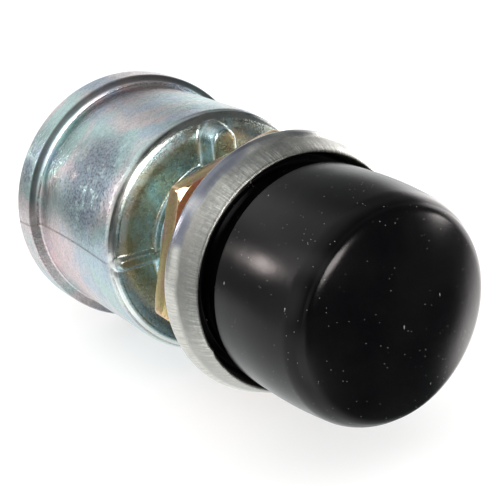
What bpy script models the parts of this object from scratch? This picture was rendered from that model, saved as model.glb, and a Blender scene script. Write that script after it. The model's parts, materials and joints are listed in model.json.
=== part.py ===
"""Sealed panel-mount push button switch.

The switch's axis lies along Y. The button faces -Y, the terminals face +Y,
and the key lug on the housing points up, along +Z. The origin is on the axis,
in the plane where the sealing washer meets the front of the panel.

Every length below is in millimetres. A station is a distance along the axis
from the panel's front face, positive towards the button.
"""
import math

import bmesh
import bpy

MM = 0.001
GAP = 0.25
ROUND = 40
MID_ROUND = 24
SMALL_ROUND = 16

# Housing
FLANGE_RADIUS = 19.6
FLANGE_BACK = -41.85
FLANGE_FRONT = -36.8
BODY_BACK_RADIUS = 17.87
BODY_FRONT_RADIUS = 17.57
BODY_FRONT = -13.6
BODY_CORNER = 2.35
CAVITY_RADIUS = 15.2
CAVITY_FRONT = -17.6
SHOULDER = -36.9
COUNTERBORE_RADIUS = 17.0
GROOVE_RADIUS = 17.8
GROOVE_FRONT = -39.7
GROOVE_BACK = -41.0
BOSS_RADIUS = 10.75
BOSS_FRONT = -11.9
STEM_RADIUS = 9.3
STEM_FRONT = 7.0
STEM_CHAMFER = 0.7
STEM_BORE = 5.2

# Key lug and parting ribs on the housing's front face
LUG_REACH = 15.8
LUG_WIDTH = 3.7
LUG_FRONT = -10.5
LUG_DRAFT = 1.22
RIB_REACH = 16.4
RIB_WIDTH = 1.8
RIB_FRONT = -13.05

# Mounting nut and lock washer
NUT_FLATS = 28.575
NUT_BACK = -5.6
NUT_FRONT = -2.8
NUT_BORE = 9.6
NUT_CHAMFER_RADIUS = 15.85
NUT_CORNER_ANGLE = 14.5
WASHER_BACK = -2.65
WASHER_FRONT = -2.05
WASHER_RADIUS = 13.3
WASHER_TOOTH_ROOT = 11.4
WASHER_TOOTH_TIP = 9.9
WASHER_TEETH = 12

# Face ring, its threaded insert and the sealing washer
SEAL_RADIUS = 16.4
SEAL_BORE = 9.9
SEAL_THICKNESS = 1.1
RING_BACK = 1.3
RING_RADIUS = 17.5
RING_CORNER_RADIUS = 16.9
RING_CORNER = 3.54
RING_FRONT = 6.53
RING_MOUTH = 15.4
RING_LIP = 0.45
RING_INNER_WALL = 15.2
RING_WEB_FRONT = 2.9
RING_HOLE = 10.9
INSERT_BORE = 9.6
INSERT_RADIUS = 10.6
INSERT_FLANGE_RADIUS = 12.3
INSERT_FLANGE_BACK = 4.65
INSERT_FRONT = 5.8

# Rubber boot
CAP_EDGE = 8.72
CAP_EDGE_RADIUS = 14.75
CAP_SHOULDER_RADIUS = 14.16
CAP_SHOULDER_ROUND = 2.5
CAP_APEX = 26.97
CAP_CROWN_RADIUS = 34.0
CAP_WALL_INNER = 12.5
CAP_ROOF = 23.75
SKIRT_RADIUS = 13.9
SKIRT_THICKNESS = 0.8
SKIRT_FLANGE_RADIUS = 15.0
SKIRT_FLANGE_FRONT = 3.9
BEAD_FRONT = 4.4

# Plunger
SHAFT_RADIUS = 3.0
SHAFT_FRONT = 19.0
SHAFT_STEP = -24.2
SHAFT_TAIL_RADIUS = 2.2
SHAFT_BACK = -33.2
SHAFT_GROOVE_DEPTH = 0.6
BUSH_BORE = 3.08
BUSH_RADIUS = 4.95
BUSH_FRONT = 6.2
BUSH_FLANGE_RADIUS = 7.0
BUSH_FLANGE_BACK = -19.0
BUSH_FLANGE_FRONT = -17.85
STOP_WASHER_RADIUS = 5.4
STOP_WASHER_BACK = -20.1
STOP_WASHER_FRONT = -19.25
STOP_CLIP_BACK = -21.2
STOP_CLIP_FRONT = -20.4
HEAD_RADIUS = 11.5
HEAD_FRONT = 23.4
HEAD_BACK = 17.9
HEAD_RIM_BACK = 16.4
HEAD_RIM_INNER = 9.0
HEAD_HUB_RADIUS = 5.0
HEAD_HUB_BACK = 12.6
HEAD_SCREW_RADIUS = 1.4
HEAD_SCREW_HEAD_RADIUS = 2.9
HEAD_SCREW_BACK = 13.0

# Contact disc and its insulators
DISC_RADIUS = 11.4
DISC_BORE = 3.35
DISC_BACK = -28.9
DISC_FRONT = -27.7
SLEEVE_BORE = 2.28
SLEEVE_RADIUS = 3.1
SLEEVE_BACK = -30.0
SLEEVE_FLANGE_RADIUS = 5.3
SLEEVE_FLANGE_BACK = -27.45
SLEEVE_FLANGE_FRONT = -26.3
INSULATOR_RADIUS = 4.7
INSULATOR_BACK = -30.0
INSULATOR_FRONT = -29.15
TAIL_CLIP_BACK = -31.1
TAIL_CLIP_FRONT = -30.3

# Springs
RETURN_COIL_RADIUS = 6.6
RETURN_WIRE = 1.0
RETURN_TURNS = 5.5
CONTACT_COIL_RADIUS = 4.3
CONTACT_WIRE = 0.6
CONTACT_TURNS = 4.0
DEAD_TURNS = 0.8
COIL_STEPS = 14

# Terminal base and what holds it
BASE_RIM_RADIUS = 16.7
BASE_RIM_FRONT = -38.1
BASE_RIM_BACK = -39.4
BASE_PLUG_RADIUS = 14.9
BASE_FRONT = -34.6
BASE_PLATFORM_RADIUS = 14.3
BASE_BACK = -43.4
BASE_WELL_RADIUS = 4.6
BASE_WELL_BACK = -39.4
BARRIER_THICKNESS = 2.0
BARRIER_HEIGHT = 25.0
BARRIER_BACK = -50.5
BASE_SEAL_FRONT = -37.1
BASE_SEAL_BACK = -37.9
BASE_SEAL_BORE = 15.4
BASE_SEAL_RADIUS = 16.8
CLIP_INNER = 15.0
CLIP_OUTER = 17.55
CLIP_FRONT = -39.9
CLIP_BACK = -40.8
CLIP_GAP_DEGREES = 36.0
LINER_RADIUS = 14.9
LINER_BORE = 14.2
LINER_FRONT = -18.2
LINER_BACK = -34.2

# Terminals
TERMINAL_OFFSET = 8.6
STUD_RADIUS = 1.95
STUD_HOLE = 2.25
STUD_HEAD_RADIUS = 3.0
STUD_HEAD_FRONT = -33.0
STUD_HEAD_BACK = -34.35
STUD_BACK = -51.5
TIP_RADIUS = 2.4
TIP_FRONT = -31.9
TIP_BACK = -32.75
PLAIN_WASHER_FRONT = -43.65
PLAIN_WASHER_BACK = -44.45
PLAIN_WASHER_RADIUS = 4.5
SPRING_WASHER_FRONT = -44.7
SPRING_WASHER_BACK = -45.7
SPRING_WASHER_RADIUS = 3.8
SPRING_WASHER_GAP_DEGREES = 14.0
TERMINAL_NUT_FLATS = 7.0
TERMINAL_NUT_FRONT = -45.95
TERMINAL_NUT_BACK = -49.15
STUD_CLEARANCE = 2.2

ZINC = ("clear_zinc_chromate", (0.55, 0.60, 0.60), 1.0, 0.38)
YELLOW_ZINC = ("yellow_zinc_chromate", (0.78, 0.58, 0.26), 1.0, 0.32)
STEEL = ("brushed_steel", (0.62, 0.60, 0.57), 1.0, 0.35)
SPRING_STEEL = ("spring_steel", (0.42, 0.42, 0.43), 1.0, 0.30)
BRASS = ("brass", (0.76, 0.57, 0.27), 1.0, 0.30)
COPPER = ("copper", (0.80, 0.42, 0.28), 1.0, 0.35)
SILVER = ("silver", (0.88, 0.87, 0.84), 1.0, 0.25)
RUBBER = ("black_rubber", (0.018, 0.018, 0.019), 0.0, 0.55)
PHENOLIC = ("black_phenolic", (0.035, 0.030, 0.028), 0.0, 0.38)
FIBRE = ("vulcanised_fibre", (0.46, 0.28, 0.24), 0.0, 0.62)
NYLON = ("natural_nylon", (0.82, 0.79, 0.70), 0.0, 0.45)


def clear_scene():
    """Remove every object of the scene."""
    for item in list(bpy.data.objects):
        bpy.data.objects.remove(item, do_unlink=True)


def finish_of(recipe):
    """Return the material of a (name, colour, metallic, roughness) recipe."""
    name, colour, metallic, roughness = recipe
    material = bpy.data.materials.get(name)
    if material is None:
        material = bpy.data.materials.new(name)
        material.use_nodes = True
        shader = material.node_tree.nodes["Principled BSDF"]
        shader.inputs["Base Color"].default_value = (*colour, 1.0)
        shader.inputs["Metallic"].default_value = metallic
        shader.inputs["Roughness"].default_value = roughness
    return material


def place(name, mesh, recipe, x=0.0, z=0.0):
    """Link a mesh as an object whose origin is on its own axis."""
    mesh.materials.append(finish_of(recipe))
    mesh.shade_smooth()
    mesh.set_sharp_from_angle(angle=math.radians(32.0))
    item = bpy.data.objects.new(name, mesh)
    item.location = (x * MM, 0.0, z * MM)
    bpy.context.collection.objects.link(item)
    return item


def mesh_from(bm, name):
    """Close a bmesh into a mesh with its faces pointing out."""
    bmesh.ops.remove_doubles(bm, verts=bm.verts, dist=1e-6)
    bmesh.ops.recalc_face_normals(bm, faces=bm.faces)
    mesh = bpy.data.meshes.new(name)
    bm.to_mesh(mesh)
    bm.free()
    return mesh


def turned(name, outline, recipe, segments=ROUND, x=0.0, z=0.0):
    """Turn an outline of (radius, station) points about an axis along Y."""
    bm = bmesh.new()
    points = [bm.verts.new((radius * MM, -station * MM, 0.0)) for radius, station in outline]
    pairs = list(zip(points, points[1:]))
    if outline[0][0] > 0.0 or outline[-1][0] > 0.0:
        pairs.append((points[-1], points[0]))
    edges = [bm.edges.new(pair) for pair in pairs]
    bmesh.ops.spin(
        bm, geom=points + edges, cent=(0.0, 0.0, 0.0), axis=(0.0, 1.0, 0.0),
        angle=math.tau, steps=segments, use_merge=True, use_duplicate=False,
    )
    return place(name, mesh_from(bm, name), recipe, x, z)


def ring(name, inner, outer, back, front, recipe, segments=ROUND, x=0.0, z=0.0):
    """A plain washer or sleeve between two stations."""
    outline = [(inner, back), (outer, back), (outer, front), (inner, front)]
    return turned(name, outline, recipe, segments, x, z)


def rod(name, radius, back, front, recipe, segments=SMALL_ROUND, x=0.0, z=0.0):
    """A plain solid cylinder between two stations."""
    outline = [(0.0, back), (radius, back), (radius, front), (0.0, front)]
    return turned(name, outline, recipe, segments, x, z)


def prism(name, outline, back, front, recipe, x=0.0, z=0.0, front_scale=1.0):
    """Extrude an outline of (x, z) points from one station to another."""
    bm = bmesh.new()
    back_loop = [bm.verts.new((px * MM, -back * MM, pz * MM)) for px, pz in outline]
    front_loop = [
        bm.verts.new((px * front_scale * MM, -front * MM, pz * front_scale * MM)) for px, pz in outline
    ]
    bm.faces.new(back_loop)
    bm.faces.new(front_loop)
    count = len(outline)
    for index in range(count):
        after = (index + 1) % count
        bm.faces.new((back_loop[index], back_loop[after], front_loop[after], front_loop[index]))
    return place(name, mesh_from(bm, name), recipe, x, z)


def arc(centre_radius, centre_station, radius, start, end, steps):
    """Points along an arc; 0 degrees points outwards and 90 degrees forwards."""
    points = []
    for index in range(steps + 1):
        angle = math.radians(start + (end - start) * index / steps)
        points.append((centre_radius + radius * math.cos(angle), centre_station + radius * math.sin(angle)))
    return points


def circle(radius, start, end, steps):
    """Points (x, z) along a circle about the axis."""
    angles = [math.radians(start + (end - start) * index / steps) for index in range(steps + 1)]
    return [(radius * math.cos(angle), radius * math.sin(angle)) for angle in angles]


def split_ring_outline(inner, outer, gap_degrees, steps=30, facing=-90.0):
    """Outline of a ring with a slot that faces the given angle."""
    start = facing + gap_degrees / 2
    end = facing + 360.0 - gap_degrees / 2
    return circle(outer, start, end, steps) + circle(inner, end, start, steps)


def hexagon(flats, corner_angle):
    """Outline of a hexagon with one corner at the given angle."""
    corner = flats / 2 / math.cos(math.radians(30.0))
    return circle(corner, corner_angle, corner_angle + 300.0, 5)


def combine(target, tool, operation):
    """Apply a Boolean between two objects and keep the tool as a hidden guide."""
    modifier = target.modifiers.new(operation.lower(), "BOOLEAN")
    modifier.operation = operation
    modifier.solver = "EXACT"
    modifier.object = tool
    tool.hide_render = True
    tool.display_type = "WIRE"
    return target


def coil(name, mean_radius, wire, turns, back, front, recipe):
    """A compression spring with closed end turns along the axis."""
    centre_back = back + wire / 2
    centre_front = front - wire / 2
    dead_rise = wire * 1.05
    live_turns = turns - 2 * DEAD_TURNS
    pitch = (centre_front - centre_back - 2 * DEAD_TURNS * dead_rise) / live_turns
    steps = round(turns * COIL_STEPS)
    curve = bpy.data.curves.new(name, "CURVE")
    curve.dimensions = "3D"
    curve.bevel_depth = wire / 2 * MM
    curve.bevel_resolution = 1
    curve.use_fill_caps = True
    spline = curve.splines.new("POLY")
    spline.points.add(steps)
    station = centre_back
    for index, point in enumerate(spline.points):
        turn = turns * index / steps
        live = min(max(turn - DEAD_TURNS, 0.0), live_turns)
        dead = turn - live
        station = centre_back + dead * dead_rise + live * pitch
        angle = math.tau * turn
        point.co = (mean_radius * math.cos(angle) * MM, -station * MM, mean_radius * math.sin(angle) * MM, 1.0)
    curve.materials.append(finish_of(recipe))
    item = bpy.data.objects.new(name, curve)
    bpy.context.collection.objects.link(item)
    return item


def housing():
    """Die-cast housing: flanged cup, front boss and threaded stem in one piece."""
    corner_centre = BODY_FRONT_RADIUS - BODY_CORNER
    outline = [(COUNTERBORE_RADIUS, FLANGE_BACK), (FLANGE_RADIUS - 0.5, FLANGE_BACK)]
    outline += [(FLANGE_RADIUS, FLANGE_BACK + 0.5), (FLANGE_RADIUS - 0.15, FLANGE_FRONT - 0.35)]
    outline += [(FLANGE_RADIUS - 0.5, FLANGE_FRONT), (BODY_BACK_RADIUS + 0.45, FLANGE_FRONT)]
    outline += [(BODY_BACK_RADIUS + 0.1, FLANGE_FRONT + 0.45), (BODY_BACK_RADIUS, FLANGE_FRONT + 1.4)]
    outline += arc(corner_centre, BODY_FRONT - BODY_CORNER, BODY_CORNER, 0.0, 90.0, 5)
    outline += [(BOSS_RADIUS, BODY_FRONT), (BOSS_RADIUS, BOSS_FRONT - 0.4), (BOSS_RADIUS - 0.4, BOSS_FRONT)]
    outline += [(STEM_RADIUS, BOSS_FRONT), (STEM_RADIUS, STEM_FRONT - STEM_CHAMFER)]
    outline += [(STEM_RADIUS - STEM_CHAMFER, STEM_FRONT), (STEM_BORE, STEM_FRONT)]
    outline += [(STEM_BORE, CAVITY_FRONT), (CAVITY_RADIUS, CAVITY_FRONT), (CAVITY_RADIUS, SHOULDER)]
    outline += [(COUNTERBORE_RADIUS, SHOULDER), (COUNTERBORE_RADIUS, GROOVE_FRONT)]
    outline += [(GROOVE_RADIUS, GROOVE_FRONT), (GROOVE_RADIUS, GROOVE_BACK), (COUNTERBORE_RADIUS, GROOVE_BACK)]
    body = turned("housing", outline, ZINC)
    combine(body, key_lug(), "UNION")
    for side in (-1.0, 1.0):
        combine(body, parting_rib(side), "UNION")
    return body


def key_lug():
    """Round-ended key that stands on the housing's front face and joins its boss."""
    half = LUG_WIDTH / 2 * LUG_DRAFT
    root = LUG_REACH - 5.9
    end = [(px, pz + LUG_REACH - LUG_WIDTH / 2 - root) for px, pz in circle(half, 0.0, 180.0, 8)]
    outline = [(half, 0.0)] + end + [(-half, 0.0)]
    lug = prism("key_lug_guide", outline, BODY_FRONT - 1.0, LUG_FRONT, ZINC, 0.0, root, 1.0 / LUG_DRAFT)
    return lug


def parting_rib(side):
    """Low flat rib from the boss to the housing's rim."""
    half = RIB_WIDTH / 2
    near = side * (BOSS_RADIUS - 0.6)
    far = side * RIB_REACH
    outline = [(near, -half), (far, -half), (far, half), (near, half)]
    return prism(f"parting_rib_guide_{side:+.0f}", outline, BODY_FRONT - 1.0, RIB_FRONT, ZINC)


def mounting_nut():
    """Thin hexagonal nut with its corners chamfered on both faces."""
    depth = (NUT_FLATS / 2 / math.cos(math.radians(30.0)) + 0.3 - NUT_CHAMFER_RADIUS) * 0.65
    outer = NUT_CHAMFER_RADIUS + depth / 0.65
    outline = [(NUT_BORE, NUT_BACK), (NUT_CHAMFER_RADIUS, NUT_BACK), (outer, NUT_BACK + depth)]
    outline += [(outer, NUT_FRONT - depth), (NUT_CHAMFER_RADIUS, NUT_FRONT), (NUT_BORE, NUT_FRONT)]
    nut = turned("mounting_nut", outline, YELLOW_ZINC)
    blank = prism(
        "mounting_nut_guide", hexagon(NUT_FLATS, NUT_CORNER_ANGLE), NUT_BACK - 1.0, NUT_FRONT + 1.0, YELLOW_ZINC,
    )
    return combine(nut, blank, "INTERSECT")


def lock_washer():
    """Internal-tooth lock washer."""
    pitch = 360.0 / WASHER_TEETH
    outline = []
    for tooth in range(WASHER_TEETH):
        start = tooth * pitch
        outline += circle(WASHER_TOOTH_ROOT, start, start + pitch * 0.5, 2)
        outline += circle(WASHER_TOOTH_TIP, start + pitch * 0.58, start + pitch * 0.92, 1)
    teeth = prism("lock_washer_guide", outline, WASHER_BACK - 1.0, WASHER_FRONT + 1.0, YELLOW_ZINC)
    washer = rod("lock_washer", WASHER_RADIUS, WASHER_BACK, WASHER_FRONT, YELLOW_ZINC, ROUND)
    return combine(washer, teeth, "DIFFERENCE")


def face_ring():
    """Dished steel ring that frames the boot."""
    lip_centre = RING_MOUTH + RING_LIP
    outline = [(RING_HOLE, RING_BACK), (RING_RADIUS - 0.25, RING_BACK), (RING_RADIUS, RING_BACK + 0.25)]
    outline += [(RING_CORNER_RADIUS + 0.05, RING_CORNER - 0.2), (RING_CORNER_RADIUS - 0.15, RING_CORNER + 0.15)]
    outline += arc(lip_centre, RING_FRONT - RING_LIP, RING_LIP, 50.0, 180.0, 4)
    outline += [(RING_INNER_WALL, RING_WEB_FRONT), (RING_HOLE, RING_WEB_FRONT)]
    return turned("face_ring", outline, STEEL)


def threaded_insert():
    """Flanged bush that clamps the boot's bead and screws onto the stem."""
    sleeve_back = RING_BACK + 0.15
    outline = [(INSERT_BORE, sleeve_back), (INSERT_RADIUS, sleeve_back), (INSERT_RADIUS, INSERT_FLANGE_BACK)]
    outline += [(INSERT_FLANGE_RADIUS, INSERT_FLANGE_BACK), (INSERT_FLANGE_RADIUS, INSERT_FRONT - 0.3)]
    outline += [(INSERT_FLANGE_RADIUS - 0.3, INSERT_FRONT), (INSERT_BORE, INSERT_FRONT)]
    return turned("threaded_insert", outline, BRASS)


def boot_cap():
    """Thick rubber button: tapered side, rounded shoulder and crowned front."""
    round_centre = CAP_SHOULDER_RADIUS - CAP_SHOULDER_ROUND
    crown_centre = CAP_APEX - CAP_CROWN_RADIUS
    meeting = math.degrees(math.acos(round_centre / (CAP_CROWN_RADIUS - CAP_SHOULDER_ROUND)))
    rise = (CAP_CROWN_RADIUS - CAP_SHOULDER_ROUND) * math.sin(math.radians(meeting))
    outline = [(0.0, CAP_ROOF), (CAP_WALL_INNER - 0.8, CAP_ROOF), (CAP_WALL_INNER, CAP_ROOF - 0.8)]
    outline += [(CAP_WALL_INNER, CAP_EDGE), (CAP_EDGE_RADIUS - 0.5, CAP_EDGE), (CAP_EDGE_RADIUS, CAP_EDGE + 0.5)]
    outline += arc(round_centre, crown_centre + rise, CAP_SHOULDER_ROUND, 0.0, meeting, 6)
    outline += arc(0.0, crown_centre, CAP_CROWN_RADIUS, meeting, 90.0, 5)[1:-1]
    outline += [(0.0, CAP_APEX)]
    return turned("boot_cap", outline, RUBBER)


def boot_skirt():
    """Thin rubber wall and clamped bead that close the boot against the ring."""
    inner = SKIRT_RADIUS - SKIRT_THICKNESS
    bead_inner = INSERT_RADIUS + GAP
    base = RING_WEB_FRONT + GAP
    outline = [(bead_inner, base), (SKIRT_FLANGE_RADIUS, base), (SKIRT_FLANGE_RADIUS, SKIRT_FLANGE_FRONT)]
    outline += [(SKIRT_RADIUS, SKIRT_FLANGE_FRONT), (SKIRT_RADIUS, CAP_EDGE - GAP), (inner, CAP_EDGE - GAP)]
    outline += [(inner, BEAD_FRONT), (bead_inner, BEAD_FRONT)]
    return turned("boot_skirt", outline, RUBBER)


def plunger_shaft():
    """Stepped shaft with a groove for each clip and a tapped front end."""
    deep = SHAFT_RADIUS - SHAFT_GROOVE_DEPTH
    tail = SHAFT_TAIL_RADIUS - SHAFT_GROOVE_DEPTH
    bore = HEAD_SCREW_RADIUS + GAP
    outline = [(0.0, SHAFT_BACK), (SHAFT_TAIL_RADIUS - 0.4, SHAFT_BACK), (SHAFT_TAIL_RADIUS, SHAFT_BACK + 0.4)]
    outline += [(SHAFT_TAIL_RADIUS, TAIL_CLIP_BACK - 0.1), (tail, TAIL_CLIP_BACK - 0.1)]
    outline += [(tail, TAIL_CLIP_FRONT + 0.1), (SHAFT_TAIL_RADIUS, TAIL_CLIP_FRONT + 0.1)]
    outline += [(SHAFT_TAIL_RADIUS, SHAFT_STEP), (SHAFT_RADIUS, SHAFT_STEP)]
    outline += [(SHAFT_RADIUS, STOP_CLIP_BACK - 0.1), (deep, STOP_CLIP_BACK - 0.1)]
    outline += [(deep, STOP_CLIP_FRONT + 0.1), (SHAFT_RADIUS, STOP_CLIP_FRONT + 0.1)]
    outline += [(SHAFT_RADIUS, SHAFT_FRONT - 0.3), (SHAFT_RADIUS - 0.3, SHAFT_FRONT), (bore, SHAFT_FRONT)]
    outline += [(bore, HEAD_SCREW_BACK - 1.0), (0.0, HEAD_SCREW_BACK - 1.0)]
    return turned("plunger_shaft", outline, STEEL, MID_ROUND)


def guide_bush():
    """Flanged bronze bush that guides the shaft through the stem."""
    outline = [(BUSH_BORE, BUSH_FLANGE_BACK), (BUSH_FLANGE_RADIUS, BUSH_FLANGE_BACK)]
    outline += [(BUSH_FLANGE_RADIUS, BUSH_FLANGE_FRONT), (BUSH_RADIUS, BUSH_FLANGE_FRONT)]
    outline += [(BUSH_RADIUS, BUSH_FRONT), (BUSH_BORE, BUSH_FRONT)]
    return turned("guide_bush", outline, BRASS, MID_ROUND)


def button_head():
    """Moulded head under the rubber cap, with a hub and a spring seat."""
    bore = SHAFT_RADIUS + GAP
    throat = HEAD_SCREW_RADIUS + GAP
    sink = HEAD_SCREW_HEAD_RADIUS + GAP
    outline = [(bore, HEAD_HUB_BACK), (HEAD_HUB_RADIUS, HEAD_HUB_BACK), (HEAD_HUB_RADIUS, HEAD_BACK)]
    outline += [(HEAD_RIM_INNER, HEAD_BACK), (HEAD_RIM_INNER, HEAD_RIM_BACK), (HEAD_RADIUS, HEAD_RIM_BACK)]
    outline += arc(HEAD_RADIUS - 1.6, HEAD_FRONT - 1.6, 1.6, 0.0, 90.0, 3)
    outline += [(sink, HEAD_FRONT), (sink, SHAFT_FRONT + 1.75), (throat, SHAFT_FRONT + 1.75)]
    outline += [(throat, SHAFT_FRONT + GAP), (bore, SHAFT_FRONT + GAP)]
    return turned("button_head", outline, PHENOLIC, MID_ROUND)


def head_screw():
    """Cheese-head screw that holds the head on the shaft."""
    seat = SHAFT_FRONT + 2.0
    outline = [(0.0, HEAD_SCREW_BACK), (HEAD_SCREW_RADIUS, HEAD_SCREW_BACK), (HEAD_SCREW_RADIUS, seat)]
    outline += [(HEAD_SCREW_HEAD_RADIUS, seat), (HEAD_SCREW_HEAD_RADIUS, seat + 1.6)]
    outline += [(HEAD_SCREW_HEAD_RADIUS - 0.4, seat + 2.0), (0.0, seat + 2.0)]
    screw = turned("head_screw", outline, STEEL, SMALL_ROUND)
    half_slot = 0.4
    reach = HEAD_SCREW_HEAD_RADIUS + 1.0
    slot_outline = [(-reach, -half_slot), (reach, -half_slot), (reach, half_slot), (-reach, half_slot)]
    slot = prism("head_screw_slot_guide", slot_outline, seat + 1.1, seat + 3.0, STEEL)
    return combine(screw, slot, "DIFFERENCE")


def shaft_clip(name, shaft_radius, outer, back, front):
    """Open retaining clip that sits in a groove of the shaft."""
    inner = shaft_radius - SHAFT_GROOVE_DEPTH + 0.2
    outline = split_ring_outline(inner, outer, 60.0, 20)
    return prism(name, outline, back, front, SPRING_STEEL)


def contact_parts():
    """Contact disc with the insulators that carry it on the shaft."""
    ring("contact_disc", DISC_BORE, DISC_RADIUS, DISC_BACK, DISC_FRONT, COPPER)
    outline = [(SLEEVE_BORE, SLEEVE_BACK), (SLEEVE_RADIUS, SLEEVE_BACK), (SLEEVE_RADIUS, SLEEVE_FLANGE_BACK)]
    outline += [(SLEEVE_FLANGE_RADIUS, SLEEVE_FLANGE_BACK), (SLEEVE_FLANGE_RADIUS, SLEEVE_FLANGE_FRONT)]
    outline += [(SLEEVE_BORE, SLEEVE_FLANGE_FRONT)]
    turned("insulating_sleeve", outline, NYLON, MID_ROUND)
    bore = SLEEVE_RADIUS + GAP
    ring("insulating_washer", bore, INSULATOR_RADIUS, INSULATOR_BACK, INSULATOR_FRONT, FIBRE, MID_ROUND)


def terminal_base():
    """Moulded base: plug, rim, rear platform and the barrier between the terminals."""
    outline = [(0.0, BASE_BACK), (BASE_PLATFORM_RADIUS - 0.5, BASE_BACK), (BASE_PLATFORM_RADIUS, BASE_BACK + 0.5)]
    outline += [(BASE_PLATFORM_RADIUS, BASE_RIM_BACK), (BASE_RIM_RADIUS, BASE_RIM_BACK)]
    outline += [(BASE_RIM_RADIUS, BASE_RIM_FRONT), (BASE_PLUG_RADIUS, BASE_RIM_FRONT)]
    outline += [(BASE_PLUG_RADIUS, BASE_FRONT), (BASE_WELL_RADIUS, BASE_FRONT)]
    outline += [(BASE_WELL_RADIUS, BASE_WELL_BACK), (0.0, BASE_WELL_BACK)]
    base = turned("terminal_base", outline, PHENOLIC)
    half = BARRIER_THICKNESS / 2
    tall = BARRIER_HEIGHT / 2
    wall_outline = [(-half, -tall), (half, -tall), (half, tall), (-half, tall)]
    combine(base, prism("barrier_guide", wall_outline, BARRIER_BACK, BASE_BACK + 1.0, PHENOLIC), "UNION")
    for side in (-1.0, 1.0):
        hole = rod(
            f"stud_hole_guide_{side:+.0f}", STUD_HOLE, BASE_BACK - 2.0, BASE_FRONT + 2.0, PHENOLIC,
            SMALL_ROUND, side * TERMINAL_OFFSET,
        )
        combine(base, hole, "DIFFERENCE")
    return base


def terminal(letter, side):
    """One terminal: stud, silver tip, plain washer, spring washer and nut."""
    x = side * TERMINAL_OFFSET
    outline = [(0.0, STUD_BACK), (STUD_RADIUS - 0.4, STUD_BACK), (STUD_RADIUS, STUD_BACK + 0.4)]
    outline += [(STUD_RADIUS, STUD_HEAD_BACK), (STUD_HEAD_RADIUS, STUD_HEAD_BACK)]
    outline += [(STUD_HEAD_RADIUS, STUD_HEAD_FRONT), (0.0, STUD_HEAD_FRONT)]
    turned(f"terminal_stud_{letter}", outline, BRASS, SMALL_ROUND, x)
    tip = [(0.0, TIP_BACK), (TIP_RADIUS, TIP_BACK), (TIP_RADIUS, TIP_FRONT - 0.3), (TIP_RADIUS - 0.6, TIP_FRONT)]
    turned(f"fixed_contact_{letter}", tip + [(0.0, TIP_FRONT)], SILVER, SMALL_ROUND, x)
    ring(
        f"terminal_washer_{letter}", STUD_CLEARANCE, PLAIN_WASHER_RADIUS, PLAIN_WASHER_BACK,
        PLAIN_WASHER_FRONT, BRASS, SMALL_ROUND, x,
    )
    split = split_ring_outline(STUD_CLEARANCE, SPRING_WASHER_RADIUS, SPRING_WASHER_GAP_DEGREES, 20)
    prism(f"spring_washer_{letter}", split, SPRING_WASHER_BACK, SPRING_WASHER_FRONT, SPRING_STEEL, x)
    corner = TERMINAL_NUT_FLATS / 2 / math.cos(math.radians(30.0))
    edge = TERMINAL_NUT_FLATS / 2
    profile = [(STUD_CLEARANCE, TERMINAL_NUT_BACK), (edge, TERMINAL_NUT_BACK)]
    profile += [(corner + 0.2, TERMINAL_NUT_BACK + 0.45), (corner + 0.2, TERMINAL_NUT_FRONT - 0.45)]
    profile += [(edge, TERMINAL_NUT_FRONT), (STUD_CLEARANCE, TERMINAL_NUT_FRONT)]
    nut = turned(f"terminal_nut_{letter}", profile, BRASS, MID_ROUND, x)
    blank = prism(
        f"terminal_nut_guide_{letter}", hexagon(TERMINAL_NUT_FLATS, 0.0), TERMINAL_NUT_BACK - 1.0,
        TERMINAL_NUT_FRONT + 1.0, BRASS, x,
    )
    combine(nut, blank, "INTERSECT")


def build():
    """Make every piece of the switch."""
    clear_scene()
    housing()
    terminal_base()
    ring("base_seal", BASE_SEAL_BORE, BASE_SEAL_RADIUS, BASE_SEAL_BACK, BASE_SEAL_FRONT, RUBBER)
    clip = split_ring_outline(CLIP_INNER, CLIP_OUTER, CLIP_GAP_DEGREES, 44)
    prism("base_retaining_ring", clip, CLIP_BACK, CLIP_FRONT, SPRING_STEEL)
    ring("insulating_liner", LINER_BORE, LINER_RADIUS, LINER_BACK, LINER_FRONT, FIBRE)
    terminal("a", -1.0)
    terminal("b", 1.0)
    guide_bush()
    mounting_nut()
    lock_washer()
    ring("panel_seal", SEAL_BORE, SEAL_RADIUS, 0.0, SEAL_THICKNESS, FIBRE)
    face_ring()
    threaded_insert()
    boot_cap()
    boot_skirt()
    plunger_shaft()
    button_head()
    head_screw()
    stop_bore = SHAFT_RADIUS + GAP
    ring("stop_washer", stop_bore, STOP_WASHER_RADIUS, STOP_WASHER_BACK, STOP_WASHER_FRONT, STEEL, MID_ROUND)
    shaft_clip("stop_clip", SHAFT_RADIUS, 4.9, STOP_CLIP_BACK, STOP_CLIP_FRONT)
    shaft_clip("tail_clip", SHAFT_TAIL_RADIUS, 3.9, TAIL_CLIP_BACK, TAIL_CLIP_FRONT)
    contact_parts()
    coil(
        "return_spring", RETURN_COIL_RADIUS, RETURN_WIRE, RETURN_TURNS, STEM_FRONT + GAP,
        HEAD_BACK - GAP, SPRING_STEEL,
    )
    coil(
        "contact_spring", CONTACT_COIL_RADIUS, CONTACT_WIRE, CONTACT_TURNS,
        SLEEVE_FLANGE_FRONT + GAP, STOP_CLIP_BACK - GAP, SPRING_STEEL,
    )


build()
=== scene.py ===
import json
import math

import bmesh
import bpy
import numpy as np
from mathutils import Matrix, Vector


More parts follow.
